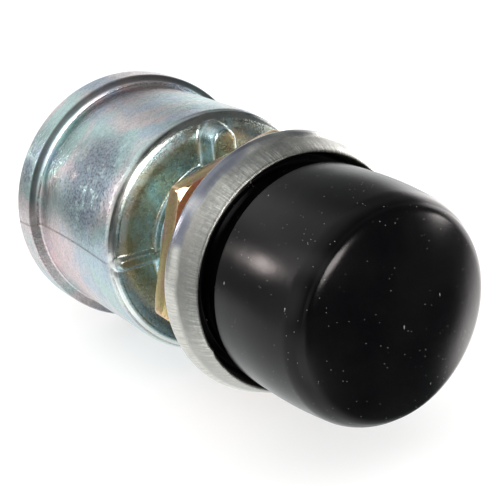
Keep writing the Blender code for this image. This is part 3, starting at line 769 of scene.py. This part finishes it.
def plunger_parts():
    """Everything that slides with the button apart from the rubber, with the bush and spring it slides in."""
    plunger_shaft()
    button_head()
    head_screw()
    washer("stop_washer", SHAFT_RADIUS + 0.25)
    shaft_clip("stop_clip", SHAFT_RADIUS)
    shaft_clip("tail_clip", TAIL_RADIUS)
    spring("contact_spring", 4.3, 0.6, 4.0, "contact_float")
    _, back, front = extent("guide_bush")
    bore, rim, neck, flange = 3.08, 7.0, 4.95, -17.85
    corners = [
        (bore, back, 0.15), (rim, back, 0.2), (rim, flange, 0.2), (neck, flange, 0.1), (neck, front, 0.3),
        (bore, front, 0.2),
    ]
    turned("guide_bush", rounded(corners), 64)
    spring("return_spring", 6.6, 1.0, 5.5, "button_press")


def spring(node, mean, wire, turns, joint):
    """A coil spring for a node, with a mesh of its own; the joint's full travel is worked out but nothing
    shortens the spring.
    """
    _, back, front = extent(node)
    travel = max(abs(limit) for limit in JOINT_OF[joint]["range_m"]) / MM
    item = coil(node, mean, wire, turns, back, front)
    1.0 - travel / (front - back)
    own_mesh(item)


def contact_parts():
    """Contact disc, its insulating sleeve and washer."""
    radius, back, front = extent("contact_disc")
    ridge = rounded([
        (DISC_BORE, back, 0.1), (6.6, back, 0.3), (7.2, back + 0.12, 0.3), (10.0, back + 0.12, 0.3),
        (10.6, back, 0.3),
        (radius, back, 0.25), (radius, front, 0.25), (DISC_BORE, front, 0.1),
    ])
    turned("contact_disc", ridge, 96)
    radius, back, front = extent("insulating_sleeve")
    bore, neck, flange = 2.28, 3.1, -27.45
    corners = [
        (bore, back, 0.1), (neck, back, 0.2), (neck, flange, 0.1), (radius, flange, 0.2),
        (radius, front, 0.3), (bore, front, 0.1),
    ]
    turned("insulating_sleeve", rounded(corners), 64)
    washer("insulating_washer", DISC_BORE)


# ---- base and terminals

def terminal_base():
    """Moulded base: plug, rim, rear platform with a rounded barrier, and a hole for each stud."""
    radius, barrier_back, front = extent("terminal_base")
    rim_back, rim_front, plug, well = -39.4, -38.1, 14.9, 4.6
    corners = [
        (0.0, BASE_BACK), (BASE_PLATFORM, BASE_BACK, 0.7), (BASE_PLATFORM, rim_back, 0.3),
        (radius, rim_back, 0.3), (radius, rim_front, 0.3), (plug, rim_front, 0.2), (plug, front, 0.5),
        (well, front, 0.3), (well, rim_back, 0.4), (0.0, rim_back),
    ]
    grid = spun(rounded(corners, closed=False), around(128))
    base = mesh_from("terminal_base_body", [(grid, False, True)])
    foot = 0.55
    section = [
        (BARRIER_HALF + foot + 0.4, BASE_BACK + 0.4, 0.0), (BARRIER_HALF, BASE_BACK - foot, 0.5),
        (BARRIER_HALF, barrier_back, 0.55),
    ]
    base = boolean(base, barrier_mesh(section, barrier_back), "UNION")
    for side in (-1.0, 1.0):
        bore = np.array([(0.0, -50.0), (STUD_BORE, -50.0), (STUD_BORE, -30.0), (0.0, -30.0)])
        hole = spun(bore, around(48), x=side * TERMINAL_X)
        base = boolean(base, mesh_from("stud_hole", [(hole, False, True)]), "DIFFERENCE")
    piece("terminal_base", base)


def barrier_mesh(section, barrier_back):
    """Upright wall between the terminals, with rounded edges and a flared foot."""
    corner = 1.6
    arc = np.linspace(0.0, math.pi / 2, 8)
    rows = []
    for offset, station in rounded(section + [(0.0, barrier_back)], closed=False, step=18.0):
        half = BARRIER_TALL - (BARRIER_HALF - offset)
        bend = min(max(offset, 0.02), corner)
        loop = []
        for quarter, (sign_x, sign_z) in enumerate(((1.0, 1.0), (-1.0, 1.0), (-1.0, -1.0), (1.0, -1.0))):
            cx = sign_x * max(offset - bend, 0.0)
            cz = sign_z * (half - bend)
            turn = arc + quarter * math.pi / 2
            loop += [(cx + bend * math.cos(angle), -station, cz + bend * math.sin(angle)) for angle in turn]
        rows.append(loop)
    return mesh_from("barrier", [(np.array(rows), None, True)])


def terminal(letter, side):
    """Threaded stud with its tip, washers and nut."""
    x = side * TERMINAL_X
    stud = f"terminal_stud_{letter}"
    angles = around(48)
    _, back, front = extent(stud)
    thread_front = -40.5
    tip = STUD_RADIUS - 0.46
    shank = STUD_RADIUS - 0.04

    def limit(radius, station):
        fade = unit((thread_front - station) / STUD_PITCH)
        plain = np.maximum(radius, shank - fade * 0.5)
        return np.minimum(plain, tip + (station - back) * 1.0)

    head = rounded([
        (shank, thread_front), (shank, -34.35, 0.15), (3.0, -34.35, 0.15),
        (3.0, front, 0.25), (0.0, front),
    ], closed=False)
    grids = [
        (spun(head, angles, None, x), False, True),
        (thread_grid(shank, shank - 0.38, STUD_PITCH, back, thread_front, 48, limit, back, x), False, None),
        (spun(np.array([(0.0, back), (tip, back)]), angles, None, x), False, True),
    ]
    piece(stud, grids, 40.0)
    node = f"fixed_contact_{letter}"
    radius, back, front = extent(node)
    corners = [
        (0.0, back), (radius, back, 0.1), (radius, front - 0.35, 0.2), (radius - 0.7, front, 0.6),
        (0.0, front),
    ]
    turned(node, rounded(corners, closed=False), 48, x=x)
    washer(f"terminal_washer_{letter}", STUD_HOLE, x=x)
    node = f"spring_washer_{letter}"
    radius, back, front = extent(node)
    outline = washer_outline(STUD_HOLE, radius, back + 0.12, front - 0.12, 0.1)
    split_ring(node, outline, 12.0, x, rise=0.24)
    node = f"terminal_nut_{letter}"
    _, back, front = extent(node)
    hex_nut(node, TERMINAL_NUT_FLATS, back, front, 3.35, STUD_HOLE, 0.0, 12, x)


def base_parts():
    """What closes the rear of the housing."""
    terminal_base()
    washer("base_seal", 15.4, 0.3, 96)
    washer("insulating_liner", 14.2, 0.1, 96)
    retaining_ring()
    terminal("a", -1.0)
    terminal("b", 1.0)


def retaining_ring():
    """Internal retaining ring whose ends carry ears."""
    radius, back, front = extent("base_retaining_ring")
    inner = 15.6
    outline = filled(washer_outline(inner, radius, back, front, 0.1), 0.5)
    gap = math.radians(36.0)

    def ears(ring, station, angle):
        from_gap = np.abs((angle + math.pi / 2 + math.pi) % math.tau - math.pi) - gap / 2
        ear = np.exp(-((from_gap / 0.11) ** 2))
        share = (radius - ring) / (radius - inner)
        return ring - ear * 0.6 * share, station, angle

    return split_ring("base_retaining_ring", outline, 36.0, columns=160, shape=ears)


# ---- shader nodes

class Value:
    """A node's output, which multiplies and adds like a number."""

    def __init__(self, nodes, socket):
        self.nodes = nodes
        self.socket = socket

    def __add__(self, other):
        return self.nodes.math("ADD", self, other)

    def __sub__(self, other):
        return self.nodes.math("SUBTRACT", self, other)

    def __rsub__(self, other):
        return self.nodes.math("SUBTRACT", other, self)

    def __mul__(self, other):
        return self.nodes.math("MULTIPLY", self, other)

    def __truediv__(self, other):
        return self.nodes.math("DIVIDE", self, other)

    __radd__ = __add__
    __rmul__ = __mul__

    def band(self, low, high):
        """Smooth step from 0 at low to 1 at high."""
        inputs = dict(enumerate((self, low, high, 0.0, 1.0)))
        return self.nodes.out("MapRange", inputs, interpolation_type="SMOOTHSTEP")


class Nodes:
    """Adds nodes to a shader tree."""

    def __init__(self, tree):
        self.tree = tree

    def put(self, socket, value):
        """Set a socket to a number or a colour, or link it to a value."""
        if isinstance(value, Value):
            self.tree.links.new(value.socket, socket)
        elif socket.type == "RGBA":
            socket.default_value = (*value[:3], 1.0)
        else:
            socket.default_value = value

    def make(self, kind, inputs, **settings):
        """A new node; its inputs are given by name or number."""
        node = self.tree.nodes.new(f"ShaderNode{kind}")
        for setting, value in settings.items():
            setattr(node, setting, value)
        for key, value in inputs.items():
            self.put(node.inputs[key], value)
        return node

    def out(self, kind, inputs, output=0, **settings):
        """One output of a new node."""
        return Value(self, self.make(kind, inputs, **settings).outputs[output])

    def math(self, operation, *values, clamp=False):
        return self.out("Math", dict(enumerate(values)), operation=operation, use_clamp=clamp)

    def vector(self, operation, first, second):
        key = "Scale" if operation == "SCALE" else 1
        output = "Value" if operation in ("DISTANCE", "DOT_PRODUCT") else "Vector"
        return self.out("VectorMath", {0: first, key: second}, output, operation=operation)


class Paint(Nodes):
    """A procedural material built on one Principled shader, in millimetres of the row frame."""

    def __init__(self, name, **sockets):
        self.material = bpy.data.materials.new(name)
        self.material.use_nodes = True
        super().__init__(self.material.node_tree)
        self.shader = self.tree.nodes["Principled BSDF"].inputs
        for socket, value in sockets.items():
            self.put(self.shader[socket.replace("_", " ")], value)
        self.place = self.vector("SCALE", self.out("TexCoord", {}, "Object"), 1.0 / MM)
        self.x, self.y, self.z = self.split(self.place)
        self.station = self.y * -1.0
        self.axis_radius = self.math("SQRT", self.x * self.x + self.z * self.z)

    def split(self, vector):
        return [Value(self, socket) for socket in self.make("SeparateXYZ", {0: vector}).outputs]

    def moved(self, offset):
        """The place shifted by an offset, for a second and different noise."""
        return self.vector("ADD", self.place, offset)

    def stretched(self, scale, where=None):
        return self.vector("MULTIPLY", where or self.place, scale)

    def noise(self, scale, detail=3.0, roughness=0.55, where=None, distortion=0.0):
        """Noise from about 0 to 1, with the scale in features per millimetre."""
        return self.out("TexNoise", {
            "Vector": where or self.place, "Scale": scale, "Detail": detail, "Roughness": roughness,
            "Distortion": distortion,
        }, "Fac")

    def specks(self, size, spacing, share, stretch=(1.0, 1.0, 1.0), where=None):
        """1 inside sparse specks of a size in millimetres, 0 elsewhere."""
        node = self.make("TexVoronoi", {"Vector": self.stretched(stretch, where), "Scale": 1.0 / spacing})
        inside = self.math("LESS_THAN", Value(self, node.outputs["Distance"]), size / spacing / 2)
        chosen = self.math("LESS_THAN", self.split(Value(self, node.outputs["Color"]))[0], share)
        return inside * chosen

    def mix(self, share, first, second):
        """Blend two colours; each is a tuple of three numbers or a value."""
        return self.out("Mix", {0: share, 6: first, 7: second}, 2, data_type="RGBA")

    def near(self, centre, reach):
        """Share that fades from 1 at a (radius, angle, station) place to 0 at a reach from it."""
        radius, angle, station = centre
        turn = math.radians(angle)
        place = (radius * math.cos(turn), -station, radius * math.sin(turn))
        return self.vector("DISTANCE", self.place, place).band(reach, reach * 0.35)

    def polar(self, along_scale, scale):
        """Scaled place whose first two parts run round the axis without a seam and the third along it."""
        run = (self.axis_radius + self.station) * along_scale
        parts = {0: self.x / self.axis_radius, 1: self.z / self.axis_radius, 2: run}
        return self.stretched((scale, scale, 1.0), self.out("CombineXYZ", parts))

    def finish(self, colour, roughness, height, strength, distance):
        """The finished material; a bump height of 1 stands for the distance in millimetres."""
        bump = self.out("Bump", {"Height": height, "Strength": strength, "Distance": distance * MM})
        for socket, value in (("Base Color", colour), ("Roughness", roughness), ("Normal", bump)):
            self.put(self.shader[socket], value)
        return self.material


# ---- materials

def zinc_paint():
    """Die-cast zinc under a clear chromate: pale iridescent tints over a satin cast skin with rougher worn
    places painted dark as a painted reflection, painted shadow on the flange step and a painted highlight on
    the front corner.
    """
    paint = Paint("clear_chromate_zinc", Metallic=1.0)
    station = paint.station
    tint = paint.noise(0.085, 2.0, 0.5, distortion=0.8).band(0.47, 0.64)
    rosy = paint.math("MAXIMUM", paint.near(ROSY_LOW, 12.0), paint.near(ROSY_TOP, 8.0))
    tint = paint.math("MAXIMUM", tint * 0.7, rosy * 0.9)
    second = paint.noise(0.13, 3.0, 0.6, where=paint.moved((31.0, 7.0, 3.0))).band(0.47, 0.64)
    colour = paint.mix(tint, (0.58, 0.78, 0.77), (0.93, 0.71, 0.73))
    colour = paint.mix(second * 0.8, colour, (0.57, 0.69, 0.84))
    grain = paint.noise(3.0, 6.0, 0.78)
    pits = grain.band(0.48, 0.57)
    cloud = paint.noise(0.5, 6.0, 0.7, where=paint.stretched((1.0, 2.2, 1.0))).band(0.46, 0.64)
    colour = paint.mix(cloud * 0.30, colour, (0.42, 0.50, 0.52))
    # Worn places on the body and flange are rougher and painted dark blue-grey with darker specks, a painted
    # dark reflection.
    wear_and_painted_light = paint.math("MAXIMUM", paint.near(WORN_AND_PAINTED_DARK_BODY, 10.5), paint.near(WORN_AND_PAINTED_DARK_FLANGE, 3.0))
    wear_and_painted_light = wear_and_painted_light * paint.noise(0.45, 4.0, 0.7).band(0.30, 0.50)
    colour = paint.mix(wear_and_painted_light * 0.80, colour, (0.19, 0.25, 0.33))
    colour = paint.mix(pits * (0.22 + wear_and_painted_light * 0.85), colour, (0.12, 0.12, 0.14))
    colour = paint.mix(seam_line(paint) * 0.4, colour, (0.34, 0.29, 0.24))
    # The step where the flange meets the body lies in shadow on its upper half.
    rim_top = FLANGE_FRONT - FLANGE_SLOPE
    step = station.band(rim_top - 0.1, rim_top + 0.1) * station.band(FLANGE_FRONT - 0.12, FLANGE_FRONT - 0.30)
    step = step * paint.z.band(-3.0, 5.0)
    inward = station.band(rim_top + 0.05, FLANGE_FRONT - 0.15)
    colour = paint.mix(step * 0.92, colour, paint.mix(inward, (0.018, 0.018, 0.016), (0.075, 0.090, 0.105)))
    # The front face is more olive, inside a rounded corner painted pale as a painted highlight.
    front = station.band(BODY_FRONT - 0.55, BODY_FRONT - 0.40)
    olive = paint.mix(paint.noise(0.28, 3.0, 0.6).band(0.42, 0.60), (0.50, 0.72, 0.76), (0.48, 0.52, 0.42))
    olive = paint.mix(pits * 0.45, olive, (0.16, 0.17, 0.15))
    colour = paint.mix(front * 0.80, colour, olive)
    # The rounded corner is painted pale grey, a painted highlight, and is smoother and less rough.
    rim = station.band(BODY_FRONT - 1.6, BODY_FRONT - 0.9) * (1.0 - front)
    colour = paint.mix(rim * 0.75, colour, (0.84, 0.84, 0.80))
    rough = 0.17 + cloud * 0.07 + front * 0.03 + wear_and_painted_light * 0.22 + step * 0.27 + grain * 0.12 - rim * 0.08
    height = (paint.noise(0.7, 3.0, 0.6) * 1.5 + grain) * (1.0 - rim * 0.85) * (1.0 - front * 0.45)
    return paint.finish(colour, rough, height, 0.6, 0.05)


def seam_line(paint):
    """Share that is 1 along the mould's parting line on the casting, broken up by noise."""
    run = (paint.station - SEAM_BACK) / (BODY_FRONT - SEAM_BACK)
    bow = paint.math("SINE", run * math.pi) * SEAM_BOW
    side = paint.math("SIGN", paint.x) * -1.0
    ragged = paint.math("ABSOLUTE", paint.z * side - bow) + paint.noise(1.6, 4.0, 0.7) * 0.35
    outside = paint.axis_radius.band(BODY_FRONT_RADIUS - 0.5, BODY_FRONT_RADIUS - 0.3)
    return ragged.band(0.46, 0.20) * outside


def yellow_zinc_paint():
    """Zinc plate under a yellow chromate, gold with green and rose tints."""
    paint = Paint("yellow_chromate_zinc", Metallic=1.0)
    first = paint.noise(0.22, 3.0, 0.6, distortion=0.5).band(0.38, 0.62)
    second = paint.noise(0.35, 2.0, 0.5, where=paint.moved((9.0, 4.0, 17.0))).band(0.5, 0.68)
    colour = paint.mix(first, (0.78, 0.54, 0.33), (0.66, 0.55, 0.25))
    colour = paint.mix(second, colour, (0.74, 0.47, 0.38))
    grain = paint.noise(3.0, 5.0, 0.7)
    colour = paint.mix(grain.band(0.48, 0.64) * 0.45, colour, (0.26, 0.17, 0.08))
    return paint.finish(colour, 0.12 + grain * 0.14, grain, 0.4, 0.02)


def ring_steel_paint():
    """Plated steel: a smooth tinted edge painted dark on its upper side as a painted reflection, and a matt
    face with fine scratches that run across it, painted lighter towards the lip, round one place and on its
    lower side as painted highlights, and darker round another place as a painted reflection.
    """
    paint = Paint("plated_steel", Metallic=1.0)
    patches = paint.noise(0.30, 4.0, 0.6)
    ragged = paint.station + (patches - 0.5) * 1.2
    face = ragged.band(RING_CORNER - 0.55, RING_CORNER + 0.35)
    lipward = ragged.band(RING_CORNER + 0.6, RING_CORNER + 2.6)
    lines = paint.noise(1.0, 6.0, 0.85, where=paint.polar(0.45, 58.0))
    grain = paint.noise(2.9, 6.0, 0.80)
    # The smooth edge is painted dark blue-grey in patches on its upper side, a painted reflection.
    tint = paint.noise(0.10, 2.0, 0.5, distortion=0.4).band(0.44, 0.58) * paint.z.band(-3.0, 5.0)
    edge = paint.mix(tint, (0.78, 0.76, 0.70), (0.24, 0.25, 0.30))
    edge = paint.mix(lines.band(0.44, 0.60) * 0.35, edge, (0.30, 0.30, 0.33))
    matt = paint.mix(patches.band(0.38, 0.60), (0.34, 0.34, 0.325), (0.45, 0.44, 0.405))
    # The matt face is painted lighter towards the lip, and whiter along scratches there and round one place,
    # as painted highlights.
    matt = paint.mix(lipward * 0.65, matt, (0.46, 0.455, 0.42))
    wear_and_painted_light = lines.band(0.48, 0.62) * (0.35 + lipward) + paint.near(PAINTED_HIGHLIGHT_RING, 11.0) * lipward * 0.4
    matt = paint.mix(paint.math("MULTIPLY", wear_and_painted_light, 0.65, clamp=True), matt, (0.96, 0.95, 0.91))
    gouge = 1.0 - lines.band(0.36, 0.46)
    # Dark scratches and grain, a painted dark reflection round one place, and a lower side painted lighter as
    # painted light.
    for share, shade in (
        (gouge * 0.55, (0.26, 0.26, 0.25)), (grain.band(0.47, 0.60) * 0.45, (0.24, 0.24, 0.22)),
        (paint.near(PAINTED_DARK_RING, 10.0) * 0.65, (0.22, 0.22, 0.21)),
        (paint.z.band(0.0, -9.0) * 0.45, (0.70, 0.68, 0.63)),
    ):
        matt = paint.mix(share, matt, shade)
    rough = 0.20 + face * (0.27 + grain * 0.14 - 0.20)
    height = (lines * 1.2 + grain * 0.8) * (0.15 + face)
    return paint.finish(paint.mix(face, edge, matt), rough, height, 0.7, 0.04)


def rubber_paint():
    """Black moulded rubber with a soft sheen, dust specks and a few light scuffs."""
    paint = Paint("black_rubber", Specular_IOR_Level=0.27, Specular_Tint=(1.0, 0.95, 0.97))
    cloud = paint.noise(0.12, 4.0, 0.6)
    grain = paint.noise(5.0, 3.0, 0.6)
    colour = paint.mix(cloud.band(0.35, 0.7), (0.0010, 0.0009, 0.0014), (0.0028, 0.0025, 0.0028))
    dust = paint.specks(0.09, 0.45, 0.24)
    scuff = paint.specks(0.16, 0.8, 0.07, (1.0, 0.8, 0.30), paint.moved((3.0, 5.0, 9.0)))
    marks = paint.math("MAXIMUM", dust, scuff)
    colour = paint.mix(marks * 0.55, colour, (0.42, 0.40, 0.37))
    height = grain + paint.noise(0.7, 3.0, 0.5) * 1.5 + marks
    return paint.finish(colour, 0.11 + cloud * 0.11 + grain * 0.06, height, 0.35, 0.015)


def drawn_metal_paint(name, colour, shade, roughness):
    """Machined or drawn metal with fine turned lines and slight tarnish."""
    paint = Paint(name, Metallic=1.0)
    lines = paint.noise(1.0, 3.0, 0.7, where=paint.polar(9.0, 3.0))
    tarnish = paint.noise(0.5, 5.0, 0.65).band(0.35, 0.75)
    colour = paint.mix(lines.band(0.5, 0.8) * 0.25, paint.mix(tarnish * 0.5, colour, shade), shade)
    return paint.finish(colour, roughness + lines * 0.12, lines, 0.3, 0.01)


def moulded_paint(name, colour, fleck, roughness, fleck_scale):
    """Moulded or pressed sheet material with flecks and a fine skin."""
    paint = Paint(name)
    flecks = paint.noise(fleck_scale, 6.0, 0.75).band(0.45, 0.70)
    cloud = paint.noise(0.3, 3.0, 0.6)
    grain = paint.noise(4.0, 3.0, 0.6)
    colour = paint.mix(cloud * 0.3, paint.mix(flecks * 0.6, colour, fleck), fleck)
    return paint.finish(colour, roughness - 0.05 + grain * 0.10, grain + flecks, 0.3, 0.015)


def make_materials():
    """The finish of each material slot of the record."""
    made = {
        "housing_zinc": zinc_paint(), "nut_zinc": yellow_zinc_paint(), "ring_steel": ring_steel_paint(),
        "rubber": rubber_paint(),
    }
    for slot, *look in (
        ("spring_steel", (0.46, 0.46, 0.47), (0.24, 0.24, 0.26), 0.24),
        ("brass", (0.80, 0.60, 0.27), (0.52, 0.36, 0.16), 0.22),
        ("copper", (0.86, 0.46, 0.30), (0.50, 0.24, 0.15), 0.26),
        ("silver", (0.90, 0.89, 0.86), (0.62, 0.60, 0.56), 0.20),
    ):
        made[slot] = drawn_metal_paint(slot, *look)
    for slot, *look in (
        ("phenolic", "black_phenolic", (0.018, 0.015, 0.014), (0.040, 0.032, 0.027), 0.34, 2.2),
        ("fibre", "vulcanised_fibre", (0.42, 0.22, 0.18), (0.56, 0.38, 0.33), 0.60, 1.3),
        ("nylon", "natural_nylon", (0.78, 0.74, 0.64), (0.84, 0.81, 0.73), 0.42, 1.0),
    ):
        made[slot] = moulded_paint(*look)
    return made


# ---- stage, light and camera

def direction(azimuth, elevation):
    """Unit vector; azimuth 0 points to -Y, where the button faces, and 90 to +X."""
    a = math.radians(azimuth)
    e = math.radians(elevation)
    return Vector((math.sin(a) * math.cos(e), -math.cos(a) * math.cos(e), math.sin(e)))


class Sky(Nodes):
    """World shader made of soft patches of light in given directions."""

    def __init__(self):
        world = bpy.data.worlds.new("studio")
        bpy.context.scene.world = world
        world.use_nodes = True
        super().__init__(world.node_tree)
        self.tree.nodes.clear()
        self.ray = self.out("TexCoord", {}, "Generated")
        self.total = None

    def dot(self, vector):
        return self.vector("DOT_PRODUCT", self.ray, vector)

    def add(self, share, colour, strength):
        """Add light of a colour where share is 1."""
        light = self.vector("SCALE", [channel * strength for channel in colour], share)
        self.total = self.vector("ADD", self.total, light) if self.total else light

    def panel(self, azimuth, elevation, width, height, colour, strength, soft):
        """A rectangular soft box of a width and height in degrees."""
        normal = direction(azimuth, elevation)
        right = direction(azimuth + 90.0, 0.0)
        up = normal.cross(right) * -1.0
        if up.z < 0.0:
            up = -up
        ahead = self.math("MAXIMUM", self.dot(normal), 0.001)
        share = self.dot(normal).band(0.0, 0.05)
        blur = math.tan(math.radians(soft))
        for axis, size in ((right, width), (up, height)):
            off = self.math("ABSOLUTE", self.dot(axis) / ahead)
            edge = math.tan(math.radians(size / 2))
            share = share * off.band(edge + blur, max(edge - blur, 0.0))
        self.add(share, colour, strength)

    def spot(self, azimuth, elevation, outer, inner):
        """Share that fades from 0 at an outer angle to 1 at an inner angle round a direction."""
        low, high = (math.cos(math.radians(angle)) for angle in (outer, inner))
        return self.dot(direction(azimuth, elevation)).band(low, high)

    def finish(self, backdrop, fill):
        """Show a plain backdrop to the camera, even fill to matt surfaces and the patches in reflections."""
        path = self.make("LightPath", {})
        shown = self.out("Background", {"Color": self.total})
        for ray, colour in (("Is Diffuse Ray", fill), ("Is Camera Ray", backdrop)):
            plain = self.out("Background", {"Color": colour})
            shown = self.out("MixShader", {0: Value(self, path.outputs[ray]), 1: shown, 2: plain})
        self.make("OutputWorld", {"Surface": shown})


def light_the_studio():
    """White sweep behind and below, a dark room in front and a few soft boxes, as seen in reflections."""
    sky = Sky()
    sky.add(1.0, (0.90, 1.0, 0.98), 0.08)
    away = sky.dot(direction(18.0, -14.0)).band(0.30, -1.0)
    rear = away * (0.82 - sky.spot(-150.0, 4.0, 32.0, 8.0) * 0.62)
    rear = rear * (1.0 - sky.spot(142.0, 40.0, 36.0, 12.0) * 0.75)
    below = sky.spot(-125.0, -38.0, 84.0, 56.0) * sky.dot((0.0, 0.0, 1.0)).band(0.0, -0.3)
    sky.add(sky.math("MAXIMUM", rear, below * 0.85), (0.98, 1.0, 1.0), 1.0)
    for panel in (
        (-42.0, -42.0, 62.0, 26.0, (0.96, 1.0, 1.0), 0.5, 9.0),
        (-84.0, 45.0, 94.0, 18.0, (1.0, 1.0, 0.98), 0.72, 6.0),
        (-85.0, 12.0, 40.0, 26.0, (1.0, 1.0, 0.98), 0.38, 10.0),
        (104.0, -8.0, 50.0, 66.0, (1.0, 0.97, 0.96), 3.2, 10.0),
        (140.0, 2.0, 38.0, 26.0, (1.0, 1.0, 1.0), 0.5, 8.0),
        (-11.0, 22.0, 23.0, 17.0, (1.0, 0.97, 0.94), 15.0, 3.0),
        (-139.0, 19.0, 7.0, 8.0, (1.0, 0.93, 0.89), 25.0, 2.0),
        (62.0, 6.0, 9.0, 7.0, (1.0, 0.97, 0.95), 16.0, 2.0),
    ):
        sky.panel(*panel)
    sky.finish((1.0, 1.0, 1.0), (1.06, 1.06, 1.06))


def add_floor():
    """Large pale floor under the object."""
    bm = bmesh.new()
    bmesh.ops.create_circle(bm, cap_ends=True, segments=96, radius=3.0)
    mesh = bpy.data.meshes.new("floor")
    bm.to_mesh(mesh)
    bm.free()
    paint = Paint("floor_paint", Roughness=0.7, Specular_IOR_Level=0.1, Emission_Strength=0.55,
                  Emission_Color=(1.0, 1.0, 1.0))
    shade = paint.mix(paint.noise(0.01, 2.0), (0.46, 0.46, 0.46), (0.48, 0.48, 0.48))
    paint.put(paint.shader["Base Color"], shade)
    mesh.materials.append(paint.material)
    floor = bpy.data.objects.new("floor", mesh)
    floor.location = (0.0, 0.0, CAD_BOX[0].z - FLOOR_DROP * MM)
    floor.visible_glossy = False
    bpy.context.scene.collection.objects.link(floor)


def add_lamp():
    """Soft square lamp overhead, aimed at the middle of the object and kept out of reflections."""
    lamp = bpy.data.lights.new("overhead", "AREA")
    lamp.shape = "SQUARE"
    lamp.size = LAMP_SIZE
    lamp.energy = LAMP_POWER
    item = bpy.data.objects.new("overhead", lamp)
    towards = direction(*LAMP_DIRECTION)
    item.location = (CAD_BOX[0] + CAD_BOX[1]) / 2 + towards * LAMP_DISTANCE
    item.rotation_mode = "QUATERNION"
    item.rotation_quaternion = towards.to_track_quat("Z", "Y")
    item.visible_camera = False
    item.visible_glossy = False
    bpy.context.scene.collection.objects.link(item)


def add_camera():
    """Camera to the front left of the button and above it, with the object tilted slightly in view."""
    data = bpy.data.cameras.new("camera")
    data.lens = CAMERA_LENS
    data.sensor_width = 36.0
    data.clip_start = 0.005
    data.clip_end = 20.0
    camera = bpy.data.objects.new("camera", data)
    back = Vector(CAMERA_BACK).normalized()
    right = Vector(CAMERA_RIGHT)
    right = (right - back * right.dot(back)).normalized()
    turn = Matrix((right, back.cross(right), back)).transposed()
    camera.matrix_world = Matrix.Translation(Vector(CAMERA_PLACE) * MM) @ turn.to_4x4()
    bpy.context.scene.collection.objects.link(camera)
    bpy.context.scene.camera = camera


MATERIALS = make_materials()

housing_casting()
housing_stem()
mounting_nut()
lock_washer()
washer("panel_seal", 9.9, 0.2, 96)
face_ring()
threaded_insert()
boot_cap()
boot_skirt()
plunger_parts()
contact_parts()
base_parts()

light_the_studio()
add_floor()
add_lamp()
add_camera()
bpy.context.scene.view_settings.view_transform = "Standard"
